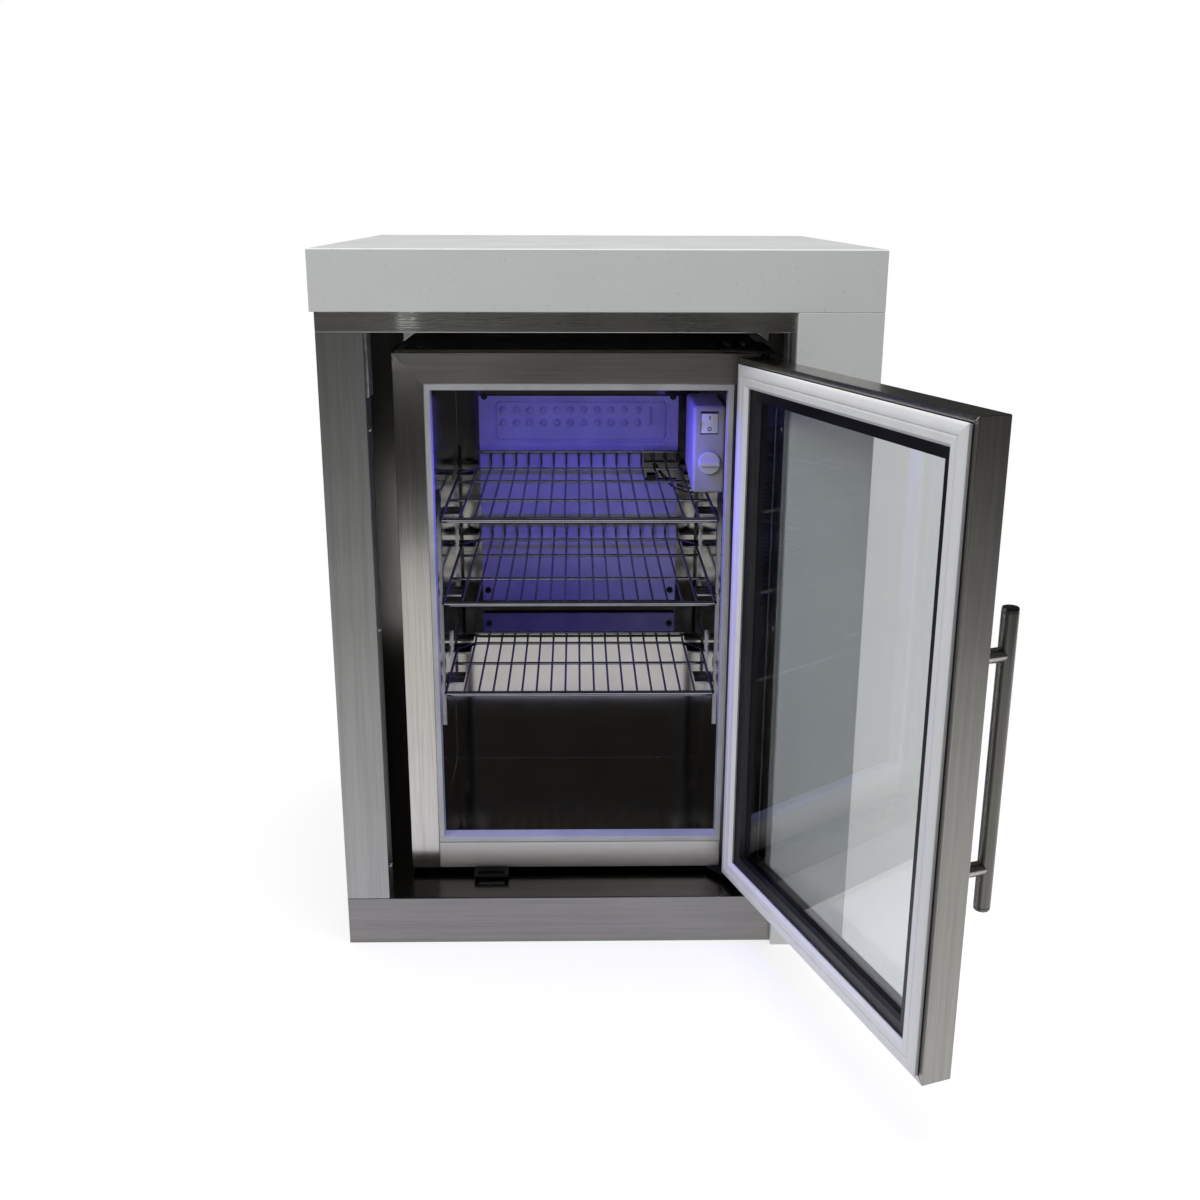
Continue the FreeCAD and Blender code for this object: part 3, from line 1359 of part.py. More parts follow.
def make_works():
    # feet under the case
    feet = [
        rod("Z", (x, y, plinth_height), foot_radius, foot_height)
        for x in (case_left + 1.3 * foot_radius, case_right - 1.3 * foot_radius)
        for y in (cooler_front + 2 * foot_radius, case_back - 2 * foot_radius)
    ]
    piece("cooler_feet", group(feet))

    # compressor: a welded steel pot on the base pan
    r = compressor_radius
    top = pit_top - case_low - skin - compressor_gap
    pot = [
        (0, 0),
        (r * 0.8, 0),
        (r * 0.8, 8),
        (r, 22),
        (r, top * 0.72),
        (r * 0.86, top * 0.92),
        (r * 0.5, top),
        (0, top),
    ]
    pot = [(as_size(a), as_size(b)) for a, b in pot]
    pot_y = (pit_front + case_back) / 2
    start = (case_middle, pot_y, case_low + skin)
    piece("compressor", turned("pot", "Z", start, pot))

    # condenser: a tube that runs to and fro behind the case
    y = float(case_back) + 3 * float(coil_wire)
    reach = float((case_right - case_left) / 2 - coil_side)
    middle = float(case_middle)
    pitch = float(coil_pitch)
    low = float(pit_top + coil_rise)
    bend = pitch / 2
    edges = []
    for n in range(coil_passes):
        z = low + n * pitch
        side = 1 if n % 2 == 0 else -1
        a = Vector(middle - side * reach, y, z)
        b = Vector(middle + side * reach, y, z)
        edges.append(Part.LineSegment(a, b).toShape())
        if n < coil_passes - 1:
            turn = Vector(b.x + side * bend, y, z + bend)
            edges.append(Part.Arc(b, turn, Vector(b.x, y, z + pitch)).toShape())
    route = Part.Wire(edges)
    start = Vector(middle - reach, y, low)
    ring = Part.Wire(Part.makeCircle(float(coil_wire), start, Vector(1, 0, 0)))
    coil = doc.addObject("Part::Feature", "coil")
    coil.Shape = route.makePipeShell([ring], True, True)
    strap_low = pit_top + coil_rise - strap_spare
    straps = [
        box(
            (case_middle + dx - strap_width / 2, case_middle + dx + strap_width / 2),
            (case_back, case_back + 2 * coil_wire),
            (strap_low, strap_low + 2 * strap_spare + coil_pitch * (coil_passes - 1)),
        )
        for dx in (-strap_place, strap_place)
    ]
    piece("condenser", group([coil] + straps))

    # where the mains lead would enter
    inlet = [(0, 0), (9, 0), (9, 4), (6, 4), (5, 16), (0, 16)]
    inlet = [(as_size(a), as_size(b)) for a, b in inlet]
    start = (case_right - 60, case_back, pit_top + 20)
    piece("mains_inlet", turned("inlet", "Y", start, inlet))


# ---------------------------------------------------------------- build, check and write

make_stone()
make_cabinet()
make_case()
make_front()
make_door()
make_handle()
make_lock()
make_hinges()
make_shelves()
make_evaporator()
make_controls()
make_works()
doc.recompute()

for thing in doc.Objects:
    if {"Invalid", "Error"} & set(thing.State):
        raise ValueError(f"{thing.Name} ({thing.Label}) failed: {thing.State}")
for label, thing in PIECES.items():
    if thing.Shape.isNull() or not thing.Shape.isValid():
        raise ValueError(f"{label} has no valid shape")
for label, thing in PIECES.items():
    thing.Shape.exportStep(f"parts/{label}.step")
print(len(PIECES), "sub-parts written")
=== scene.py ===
# %% [markdown]
# # An undercounter refrigerator in a stone-topped steel cabinet
# The object is a small glass-door cooler that stands inside an open cabinet of brushed
# stainless steel under a stone worktop. Its door hangs wide open on the right.
# Every piece already exists as a fixed frame of plain solids, each on the body that it
# moves with. This lesson gives that frame its looks: edges that catch light, wires with
# round bends, pressed sheet, brushed steel, glass and a violet lamp.
# The frame is loaded first, because every size below is read from it.

# %% Load the frame
import json
import math

import bmesh
import bpy
from mathutils import Matrix, Vector


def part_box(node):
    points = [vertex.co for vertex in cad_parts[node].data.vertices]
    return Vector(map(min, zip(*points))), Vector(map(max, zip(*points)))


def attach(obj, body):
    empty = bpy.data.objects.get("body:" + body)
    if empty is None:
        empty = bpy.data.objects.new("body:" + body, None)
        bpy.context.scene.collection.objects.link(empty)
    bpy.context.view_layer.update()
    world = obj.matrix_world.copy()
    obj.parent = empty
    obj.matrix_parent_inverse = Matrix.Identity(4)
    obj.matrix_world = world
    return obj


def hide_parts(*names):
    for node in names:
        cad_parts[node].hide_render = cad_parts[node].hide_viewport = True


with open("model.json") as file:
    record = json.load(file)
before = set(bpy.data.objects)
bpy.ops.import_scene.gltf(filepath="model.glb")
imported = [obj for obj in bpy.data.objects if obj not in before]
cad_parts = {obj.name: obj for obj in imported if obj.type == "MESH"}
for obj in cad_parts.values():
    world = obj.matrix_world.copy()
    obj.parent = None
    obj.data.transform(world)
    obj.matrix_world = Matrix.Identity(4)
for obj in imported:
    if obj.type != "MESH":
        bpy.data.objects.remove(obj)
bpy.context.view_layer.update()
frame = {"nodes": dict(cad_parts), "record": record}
parts = frame["record"]["subparts"]
moving = frame["record"]["behaviour"]["bodies"]
SLOT_OF = {part["node"]: part["material_slot"] for part in parts}
BODY_OF = {node: body for body, nodes in moving.items() for node in nodes}

# %% [markdown]
# ## The camera
# The eye stands a little above worktop height, about 1.6 m in front of the cabinet,
# and looks down into the cooler. A 40 mm lens keeps the uprights leaning only slightly.
# The camera's place is one matrix: a place, then a turn about the vertical, a tilt, and
# a hair of roll.

# %% Camera
lens = bpy.data.cameras.new("camera")
lens.lens = 39.65
lens.sensor_width = 36
camera = bpy.data.objects.new("camera", lens)
bpy.context.scene.collection.objects.link(camera)
turns = [(-1.07, "Z"), (90 - 16.83, "X"), (0.19, "Z")]
camera.matrix_world = Matrix.Translation((-0.02626, -1.88659, 0.96791))
for degrees, axis in turns:
    camera.matrix_world = camera.matrix_world @ Matrix.Rotation(math.radians(degrees), 4, axis)
bpy.context.scene.camera = camera
bpy.context.scene.view_settings.view_transform = "Standard"
print("camera at", [round(value, 3) for value in camera.matrix_world.translation])

# %% [markdown]
# ## Node trees as expressions
# A finish is a recipe: noise stretched along the grain, mixed into a colour and a
# roughness. Wired by hand such a recipe is hard to read. So one small class wraps a
# node's output, and Python's own operators add the Math nodes. Any other node comes
# from one method, `node`, which sets the node's settings first and its sockets after.

# %% Wires and graphs
class Wire:
    """A node's output, which takes part in expressions."""

    def __init__(self, graph, socket):
        self.graph = graph
        self.socket = socket

    def output(self, name):
        return Wire(self.graph, self.socket.node.outputs[name])

    def __add__(self, other):
        return self.graph.math("ADD", self, other)

    def __sub__(self, other):
        return self.graph.math("SUBTRACT", self, other)

    def __rsub__(self, other):
        return self.graph.math("SUBTRACT", other, self)

    def __mul__(self, other):
        return self.graph.math("MULTIPLY", self, other)

    def __lt__(self, other):
        return self.graph.math("LESS_THAN", self, other)

    __radd__ = __add__
    __rmul__ = __mul__


class Graph:
    """A node tree that is built from expressions."""

    def __init__(self, tree):
        self.tree = tree
        tree.nodes.clear()

    def node(self, kind, settings=None, sockets=None, out=0):
        made = self.tree.nodes.new(kind)
        for name, value in (settings or {}).items():
            setattr(made, name, value)
        for name, value in (sockets or {}).items():
            if isinstance(value, Wire):
                self.tree.links.new(value.socket, made.inputs[name])
            else:
                made.inputs[name].default_value = value
        return Wire(self, made.outputs[out]) if made.outputs else None

    def math(self, operation, first, second=0.0):
        return self.node("ShaderNodeMath", {"operation": operation}, {0: first, 1: second})


print("operators ready:", [name for name in vars(Wire) if name.startswith("__r")])

# %% [markdown]
# ## Recipes for finishes
# A recipe is a graph on a new material. All patterns are placed by Object coordinates,
# in metres, so a grain 0.6 mm wide is written as 0.0006. `sized` divides the place by
# the size of a feature along each axis, and turns it first where the piece is turned.

# %% Recipe
def paint(code):
    """A colour such as #b0b2ae, as the linear numbers that a shader wants."""
    values = [int(code[i:i + 2], 16) / 255 for i in (1, 3, 5)]
    return (*[((v + 0.055) / 1.055) ** 2.4 if v > 0.04 else v / 12.92 for v in values], 1)


class Recipe(Graph):
    """A material, made step by step."""

    def __init__(self, name):
        self.material = bpy.data.materials.new(name)
        self.material.use_nodes = True
        super().__init__(self.material.node_tree)
        self.place = self.node("ShaderNodeTexCoord", out="Object")

    def axis(self, name):
        return self.node("ShaderNodeSeparateXYZ", {}, {0: self.place}, out=name)

    def sized(self, size, turn=0.0):
        settings = {"vector_type": "TEXTURE"}
        sockets = {"Vector": self.place, "Scale": size, "Rotation": (0, 0, turn)}
        return self.node("ShaderNodeMapping", settings, sockets)

    def noise(self, place, detail=2.0):
        sockets = {"Vector": place, "Scale": 1.0, "Detail": detail, "Roughness": 0.5}
        return self.node("ShaderNodeTexNoise", {}, sockets)

    def between(self, value, low, high, start=0.0, end=1.0):
        """Climbs smoothly from start to end as the value goes from low to high."""
        sockets = {"Value": value, 1: low, 2: high, 3: start, 4: end}
        return self.node("ShaderNodeMapRange", {"interpolation_type": "SMOOTHSTEP"}, sockets)

    def mixed(self, mask, first, second):
        settings = {"data_type": "RGBA"}
        return self.node("ShaderNodeMix", settings, {0: mask, 6: first, 7: second}, out=2)

    def bumped(self, height, distance, strength):
        sockets = {"Height": height, "Distance": distance, "Strength": strength}
        return self.node("ShaderNodeBump", {}, sockets)

    def principled(self, sockets):
        return self.node("ShaderNodeBsdfPrincipled", {}, sockets)

    def finish(self, sockets):
        return self.surface(self.principled(sockets))

    def surface(self, shader):
        self.node("ShaderNodeOutputMaterial", {}, {"Surface": shader})
        return self.material


print("stone grey in linear numbers:", [round(v, 3) for v in paint("#b0b2ae")[:3]])

# %% [markdown]
# ## Stone
# The worktop is a thin engineered stone, folded down at the front and at the right as a
# waterfall. It is pale grey with a soft cloud and very fine grains, polished to a satin.
# Three noises do it: clouds some 90 mm wide, grains of 1.6 mm, and rare darker specks.

# %% Stone
def make_stone():
    stone = Recipe("worktop_stone")
    cloud = stone.noise(stone.sized((0.09, 0.09, 0.09)), detail=3)
    grain = stone.noise(stone.sized((0.0016, 0.0016, 0.0016)))
    speck = stone.between(stone.noise(stone.sized((0.004, 0.004, 0.004))), 0.67, 0.74)
    base = stone.mixed(cloud * 0.3 + grain * 0.7, paint("#d2d4d3"), paint("#dfe0e0"))
    return stone.finish({
        "Base Color": stone.mixed(speck * 0.3, base, paint("#9a9c99")),
        "Roughness": stone.between(cloud + grain * 0.4, 0.4, 1.0, 0.30, 0.36),
        "Coat Weight": 0.15,
        "Coat Roughness": 0.12,
        "Normal": stone.bumped(grain, 0.00003, 0.5),
    })


FINISH = {"stone": make_stone()}
print("made", FINISH["stone"].name)

# %% [markdown]
# ## Brushed stainless steel
# Sheet steel is brushed along its length. The brush leaves scratches tenths of a
# millimetre wide and centimetres long, so a reflection smears across them. One noise
# stretched 100 to 1 is the scratch, a wider one is the streak that a belt leaves, and a
# soft round one is where hands and cloths have been. The grain runs up the uprights and
# along the rails, so each gets its own recipe. Each recipe also has its own pair of
# colours, painted light and painted shade on one steel for how light falls on that
# member: darker on the handle and the plinth, lighter on the bottom bar and the pan. The
# door is drawn as it stands open, so the grain of its upper and lower members is turned
# with it.

# %% Brushed steel
DOOR_TURN = math.radians(-109.2)


def brushed(name, along, dull, bright, rough, turn=0.0):
    steel = Recipe(name)

    def grain(length, width):
        return steel.sized([length if axis == along else width for axis in "XYZ"], turn)

    scratch = steel.noise(grain(0.07, 0.0007))
    streak = steel.noise(grain(0.4, 0.006))
    smudge = steel.noise(steel.sized((0.11, 0.11, 0.11)), detail=3)
    tone = scratch * 0.45 + streak * 0.35 + smudge * 0.2
    wear = (scratch - 0.5) * 0.08 + (smudge - 0.5) * 0.06
    return steel.finish({
        "Base Color": steel.mixed(steel.between(tone, 0.32, 0.68), paint(dull), paint(bright)),
        "Metallic": 1.0,
        "Roughness": wear + rough,
        "Coat Weight": 0.25,
        "Coat Roughness": 0.04,
        "Normal": steel.bumped(scratch, 0.00002, 0.2),
    })


# Each member's two colours are painted light and shade on one steel: darker for the handle and
# plinth, lighter for the bottom bar, the bearers and the pan.
def make_steels():
    return {
        "stile": brushed("steel_stile", "Z", "#9d9c9a", "#b1b0ae", 0.47),
        "rail": brushed("steel_rail", "X", "#c0bdb8", "#d6d3ce", 0.28),
        "plinth": brushed("steel_plinth", "X", "#7b7977", "#8e8c89", 0.36),
        "upright": brushed("steel_upright", "Z", "#aaa7a2", "#c6c3be", 0.17),
        "level": brushed("steel_level", "X", "#d2cfca", "#e2dfda", 0.46),
        "pan": brushed("steel_pan", "X", "#bcb9b5", "#d4d1cd", 0.2),
        "top": brushed("steel_top", "X", "#bcb9b4", "#d4d1cc", 0.3),
        "door": brushed("steel_door", "Z", "#9a9793", "#aeaba6", 0.42),
        "door_level": brushed("steel_door_level", "X", "#aaa7a2", "#c6c3be", 0.3, DOOR_TURN),
        "handle": brushed("steel_handle", "Z", "#65635f", "#7b7975", 0.3),
    }


STEEL = make_steels()
print("made", len(STEEL), "brushed steels")

# %% [markdown]
# ## Galvanised straps and bright wire
# The two hanger straps and the corner tabs are galvanised sheet. Zinc sets in
# crystals, so it shows flat facets of slightly different greys: a Voronoi pattern of
# cells about 6 mm wide. Everything with a thin even coat on it comes from one function:
# the shelves' chromed wire, nearly a mirror with a little dulling where fingers touch,
# the bright zinc of the clips, the lock, the screws, the glass's black anodised spacer
# and the brass of the hinge bushes.

# %% Zinc and chrome
def make_zinc():
    zinc = Recipe("galvanised_zinc")
    cells = {"Vector": zinc.sized((0.006, 0.006, 0.006)), "Scale": 1.0}
    facet = zinc.node("ShaderNodeTexVoronoi", {"feature": "SMOOTH_F1"}, cells, out="Color")
    shade = zinc.node("ShaderNodeSeparateColor", {}, {0: facet})
    return zinc.finish({
        "Base Color": zinc.mixed(shade, paint("#b8b9ba"), paint("#dcdddd")),
        "Metallic": 0.9,
        "Roughness": shade * 0.15 + 0.32,
        "Normal": zinc.bumped(shade, 0.00004, 0.4),
    })


def plated(name, dull, bright, rough):
    chrome = Recipe(name)
    cloud = chrome.noise(chrome.sized((0.02, 0.02, 0.02)), detail=3)
    grit = chrome.noise(chrome.sized((0.0008, 0.0008, 0.0008)))
    return chrome.finish({
        "Base Color": chrome.mixed(cloud, paint(dull), paint(bright)),
        "Metallic": 1.0,
        "Roughness": cloud * 0.08 + grit * 0.04 + (rough - 0.04),
        "Normal": chrome.bumped(grit, 0.00001, 0.3),
    })


FINISH["galvanised"] = make_zinc()
# The shelf chrome is coloured darker than bare chrome: painted shade for the dark room that its
# wires mirror.
FINISH["shelf_chrome"] = plated("shelf_chrome", "#77787e", "#a6a7ad", 0.08)
FINISH["lock_chrome"] = plated("lock_chrome", "#c4c4c4", "#dedede", 0.14)
FINISH["screw_steel"] = plated("screw_steel", "#8c8b89", "#b9b8b6", 0.26)
FINISH["spacer_aluminium"] = plated("spacer_anodised_black", "#141518", "#26272b", 0.4)
FINISH["clips"] = plated("clip_bright_zinc", "#b4b5ba", "#dedfe3", 0.28)
FINISH["brass_bush"] = plated("brass_bush", "#a88a4a", "#c9a95f", 0.25)
print("plated finishes:", [key for key in FINISH if key != "stone"])

# %% [markdown]
# ## Moulded plastic, rubber and paint
# Moulded parts have a fine spark-eroded texture: grains under half a millimetre deep in
# the roughness and the bump, and a slow drift of shade from the mould. One function
# makes them all from two shades, a roughness and a grain. The evaporator's white is
# sprayed paint, which has the broader ripple called orange peel, so its grain is wider.
# Its two shades are tinted lavender, a painted share of the violet lamp's light.

# %% Plastics and paints
def moulded(name, dull, bright, rough, grain=0.0005, depth=0.00003):
    plastic = Recipe(name)
    drift = plastic.noise(plastic.sized((0.05, 0.05, 0.05)), detail=3)
    pit = plastic.noise(plastic.sized((grain, grain, grain)))
    tone = plastic.between(drift * 0.7 + pit * 0.3, 0.35, 0.65)
    return plastic.finish({
        "Base Color": plastic.mixed(tone, paint(dull), paint(bright)),
        "Roughness": (drift - 0.5) * 0.14 + pit * 0.08 + (rough - 0.04),
        "Normal": plastic.bumped(pit, depth, 0.6),
    })


FINISH |= {
    "black_case": moulded("case_black_enamel", "#08080a", "#121214", 0.3, 0.0012),
    "grey_sheet": moulded("cabinet_back_grey", "#3c3d3e", "#4a4b4c", 0.5, 0.0012),
    "foam": moulded("insulation_foam", "#b9ad8c", "#d2c7a6", 0.8, 0.0016, 0.0003),
    "black_plastic": moulded("black_plastic", "#0c0c0e", "#1a1a1d", 0.42),
    "breaker_plastic": moulded("breaker_grey_plastic", "#b2b4b8", "#c3c5c9", 0.35),
    # The evaporator's white is tinted lavender: painted violet light from the lamp.
    "evaporator_white": moulded("evaporator_paint", "#bdbcd2", "#cfcee0", 0.36, 0.003),
    "control_plastic": moulded("control_grey_plastic", "#97989c", "#a5a6aa", 0.42),
    "knob_plastic": moulded("knob_grey_plastic", "#b6b7bb", "#c6c7cb", 0.4),
    "black_metal": moulded("machine_black_paint", "#0b0b0c", "#19191b", 0.5, 0.0015),
}
print("finishes so far:", len(FINISH))

# %% [markdown]
# ## The gasket
# The door's magnetic seal is a soft white extrusion, 27 mm wide, welded at its
# corners. Soft vinyl scatters a little light inside itself, so it gets some subsurface,
# a constant on the shader's own socket. Dust settles as faint clouds.

# %% Gasket vinyl
def make_vinyl():
    vinyl = Recipe("gasket_white_vinyl")
    dust = vinyl.noise(vinyl.sized((0.03, 0.03, 0.12)), detail=4)
    skin = vinyl.noise(vinyl.sized((0.0007, 0.0007, 0.0007)))
    return vinyl.finish({
        "Base Color": vinyl.mixed(dust, paint("#e3e4e7"), paint("#f0f1f3")),
        "Roughness": dust * 0.12 + 0.38,
        "Subsurface Weight": 0.08,
        "Subsurface Scale": 0.004,
        "Normal": vinyl.bumped(skin, 0.00002, 0.4),
    })


FINISH["gasket_rubber"] = make_vinyl()
print("made", FINISH["gasket_rubber"].name)

# %% [markdown]
# ## The cooler's lining
# The lining is smooth stainless sheet, polished until it mirrors the shelves and the
# lamp, and only lightly brushed across the walls. A cloud in its roughness is what a
# damp cloth leaves behind.

# %% Lining
def make_lining():
    steel = Recipe("lining_steel")
    scratch = steel.noise(steel.sized((0.05, 0.05, 0.0009)))
    cloud = steel.noise(steel.sized((0.08, 0.08, 0.08)), detail=4)
    return steel.finish({
        "Base Color": steel.mixed(cloud, paint("#9b9894"), paint("#b8b5b0")),
        "Metallic": 1.0,
        "Roughness": (scratch - 0.5) * 0.05 + cloud * 0.06 + 0.07,
        "Normal": steel.bumped(scratch, 0.00002, 0.2),
    })


FINISH["liner_steel"] = make_lining()
print("made", FINISH["liner_steel"].name)

# %% [markdown]
# ## Glass
# The door is a double pane. Real glass bends light at each face and takes a little of
# it, which four faces and a tint add up to a grey cast. A ray tracer would call the light
# that comes through it a caustic and lose it, so a shadow ray meets a clear surface
# instead. Fingermarks are a roughness noise so faint that only a lamp shows them.

# %% Glass
def make_glass():
    glass = Recipe("door_glass")
    film = glass.noise(glass.sized((0.05, 0.05, 0.09)), detail=4)
    pane = glass.principled({
        "Base Color": glass.mixed(film, (0.775, 0.79, 0.79, 1), (0.79, 0.805, 0.805, 1)),
        "Roughness": glass.between(film, 0.6, 0.9, 0.0, 0.012),
        "IOR": 1.5,
        "Transmission Weight": 1.0,
    })
    clear = glass.node("ShaderNodeBsdfTransparent", {}, {"Color": (0.93, 0.94, 0.94, 1)})
    shadow = glass.node("ShaderNodeLightPath", out="Is Shadow Ray")
    return glass.surface(glass.node("ShaderNodeMixShader", {}, {0: shadow, 1: pane, 2: clear}))


FINISH["glass"] = make_glass()
print("made", FINISH["glass"].name)

# %% [markdown]
# ## The lamp's lens and the rocker
# The lens is a milky strip, lit from behind by violet diodes every 12 mm, so its
# glow rises and falls along its length. The rocker carries the two generic marks of
# every switch, a stroke and a ring, pressed in dark. Both marks are drawn from
# distances on Object coordinates, so they ride with the rocker.

# %% Lens and rocker
LAMP = [(low + high) / 2 for low, high in zip(*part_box("lamp_lens"))]
VIOLET = (0.10, 0.06, 1.0)
DIODE_PITCH = 0.012
MARK_RISE = 0.0075
STROKE_HALF_WIDE, STROKE_HALF_HIGH = 0.0008, 0.0026
RING_RADIUS, RING_HALF_WIDE = 0.0022, 0.0006


def make_lens():
    milky = Recipe("lamp_lens_violet")
    wave = milky.math("SINE", milky.axis("X") * (2 * math.pi / DIODE_PITCH))
    glow = milky.between(wave, -1.0, 1.0)
    return milky.finish({
        "Base Color": paint("#d8d8e6"),
        "Roughness": glow * 0.1 + 0.35,
        "Emission Color": milky.mixed(glow, (*VIOLET[:2], 0.8, 1), (0.45, 0.4, 1.0, 1)),
        "Emission Strength": 2.5,
    })


def make_rocker_plastic():
    low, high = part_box("light_switch")
    middle_x = (low[0] + high[0]) / 2
    middle_z = (low[2] + high[2]) / 2
    plastic = Recipe("rocker_plastic")
    along = plastic.math("ABSOLUTE", plastic.axis("X") - middle_x)
    rise = plastic.axis("Z") - middle_z
    from_stroke = plastic.math("ABSOLUTE", rise - MARK_RISE)
    stroke = (along < STROKE_HALF_WIDE) * (from_stroke < STROKE_HALF_HIGH)
    drop = rise + MARK_RISE
    away = plastic.math("SQRT", along * along + drop * drop)
    ring = plastic.math("ABSOLUTE", away - RING_RADIUS) < RING_HALF_WIDE
    pit = plastic.noise(plastic.sized((0.0005, 0.0005, 0.0005)))
    return plastic.finish({
        "Base Color": plastic.mixed(stroke + ring, paint("#d3d4d8"), paint("#303134")),
        "Roughness": pit * 0.1 + 0.3,
        "Normal": plastic.bumped(pit, 0.00002, 0.4),
    })


FINISH["lens_plastic"] = make_lens()
FINISH["rocker_plastic"] = make_rocker_plastic()
print("lamp at", [round(value, 3) for value in LAMP])

# %% [markdown]
# ## Which node wears which steel
# Every frame node gets a finish, and it keeps its own mesh unless a later cell stands in
# for it. Most take the finish of their slot in the record. Stainless members are told
# apart by the way their grain runs and by the painted light and shade in their colours.

# %% Dress the frame's nodes
# Members grouped by their grain and by the painted light and shade in their steel's colours.
GRAIN_AND_SHADE = {
    "stile": ["stile_left", "stile_right"],
    "rail": ["upper_rails"],
    "plinth": ["plinth"],
    "upright": ["frame_left", "frame_right"],
    "top": ["frame_top"],
    "level": ["frame_bottom", "worktop_bearers", "pan_bearers"],
    "pan": ["floor_pan"],
    "door": ["door_left", "door_right"],
    "door_level": ["door_top", "door_bottom", "handle_posts"],
    "handle": ["handle_bar"],
}


def finish_of(node):
    for way, nodes in GRAIN_AND_SHADE.items():
        if node in nodes:
            return STEEL[way]
    return FINISH.get(SLOT_OF[node], STEEL["upright"])


for node, thing in frame["nodes"].items():
    for index in range(max(1, len(thing.material_slots))):
        if thing.material_slots:
            thing.material_slots[index].link = "OBJECT"
            thing.material_slots[index].material = finish_of(node)
print("dressed", len(frame["nodes"]), "nodes")

# %% [markdown]
# ## Eased edges
# No sheet is folded to a knife edge, and it is the rounded edge that catches the light
# and makes a piece look real. `eased` copies a node, merges its loose triangles into
# whole faces, rounds its sharp edges and stands in for the node. It could be a Bevel
# modifier, but merging must come first, so the whole job is done in one mesh edit.

# %% Eased copies
def settle(name, mesh, finish, *nodes, body=None, slot=None):
    """A finished mesh becomes a piece on a body, in place of the nodes it stands for."""
    piece = bpy.data.objects.new(name, mesh)
    bpy.context.scene.collection.objects.link(piece)
    mesh.materials.clear()
    mesh.materials.append(finish)
    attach(piece, body or BODY_OF[nodes[0]])
    if nodes:
        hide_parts(*nodes)
    return piece


CORNER = math.radians(42)


def turn(edge):
    return edge.calc_face_angle(0) if len(edge.link_faces) == 2 else 0


def whole(node):
    """A node's shape as an editable mesh with whole faces, smooth where it curves."""
    shape = bmesh.new()
    shape.from_mesh(frame["nodes"][node].data)
    bmesh.ops.remove_doubles(shape, verts=shape.verts, dist=1e-6)
    flat = math.radians(0.5)
    bmesh.ops.dissolve_limit(shape, angle_limit=flat, verts=shape.verts, edges=shape.edges)
    for face in shape.faces:
        face.smooth = any(flat < turn(edge) < CORNER for edge in face.edges)
    return shape


def round_off(shape, width, steps, where):
    """Rounds the sharp edges that pass a test. Only the new faces are smooth, so that a
    wide flat face keeps its own normal and mirrors straight."""
    sharp = [edge for edge in shape.edges if turn(edge) > CORNER and where(edge)]
    made = bmesh.ops.bevel(shape, geom=sharp, offset=width, segments=steps, profile=0.5,
                           affect="EDGES", clamp_overlap=True)
    for face in made["faces"]:
        face.smooth = True


def as_mesh(name, shape, smooth=48):
    """The edited mesh, with a crease where it turns by more than the given angle."""
    bmesh.ops.recalc_face_normals(shape, faces=shape.faces)
    for edge in shape.edges:
        edge.smooth = turn(edge) < math.radians(smooth)
    mesh = bpy.data.meshes.new(name)
    shape.to_mesh(mesh)
    shape.free()
    return mesh


def eased(node, width, where):
    """A rounded copy, whose acute corners are kept from reaching past the node's box."""
    shape = whole(node)
    round_off(shape, width, 2, where)
    low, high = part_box(node)
    for vert in shape.verts:
        vert.co = [min(max(at, a), b) for at, a, b in zip(vert.co, low, high)]
    mesh = as_mesh(node + "_eased", shape)
    return settle(node + "_eased", mesh, finish_of(node), node)


EASED = {
    0.0009: ["worktop_slab", "worktop_aprons", "waterfall_front", "waterfall_side"],
    0.0007: ["stile_left", "stile_right", "upper_rails", "plinth", "floor_pan",
             "door_left", "door_right", "door_top", "door_bottom", "frame_left",
             "frame_right", "frame_top", "frame_bottom"],
    0.0006: ["breaker_strip", "door_gasket", "cooler_liner", "corner_gussets"],
    0.0004: ["hinge_bracket_top", "hinge_bracket_bottom", "lock_strike", "handle_posts",
             "lamp_housing", "lamp_lens", "light_switch", "thermostat_knob", "lock_barrel"],
}


MITRE_LOW, MITRE_HIGH = 0.88, 0.9135


def seen_edge(edge):
    """All edges but those of the mitred joint between the worktop and its apron."""
    return not all(MITRE_LOW < vert.co.z < MITRE_HIGH for vert in edge.verts)


for width, nodes in EASED.items():
    for node in nodes:
        eased(node, width, seen_edge)
print("eased", sum(len(nodes) for nodes in EASED.values()), "nodes")

# %% [markdown]
# ## The control box
# The box on the right wall is a moulded shell with generous corners, and the rocker
# sits in a narrow raised frame. Its outer edges are rounded by 4.5 mm and the edges of
# the rocker's recess by half a millimetre, so the two sets of edges are told apart by
# how far they lie from the middle of the recess.

# %% Control box
SHELL_EASE, RECESS_EASE = 0.0045, 0.0005
RECESS_REACH_X, RECESS_REACH_Z = 0.014, 0.018


def in_recess(edge):
    low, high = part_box("light_switch")
    centre = Vector([(a + b) / 2 for a, b in zip(low, high)])
    middle = (edge.verts[0].co + edge.verts[1].co) / 2
    aside, above = abs(middle.x - centre.x), abs(middle.z - centre.z)
    return aside < RECESS_REACH_X and above < RECESS_REACH_Z


def make_control_box():
    shape = whole("control_box")
    round_off(shape, RECESS_EASE, 2, in_recess)
    round_off(shape, SHELL_EASE, 5, lambda edge: not in_recess(edge))
    mesh = as_mesh("control_shell", shape)
    return settle("control_shell", mesh, FINISH["control_plastic"], "control_box")


control_shell = make_control_box()
print("control box faces:", len(control_shell.data.polygons))

# %% [markdown]
# ## Geometry Nodes for what repeats
# Wires, bars and bolt heads repeat, so they come from two trees with named sizes.
# `Pattern` builds a tree and ends it in Realize Instances and Set Material. `grow`
# gives a base mesh to the tree, sets the sizes by their sockets' identifiers, and keeps
# the result as a plain mesh.

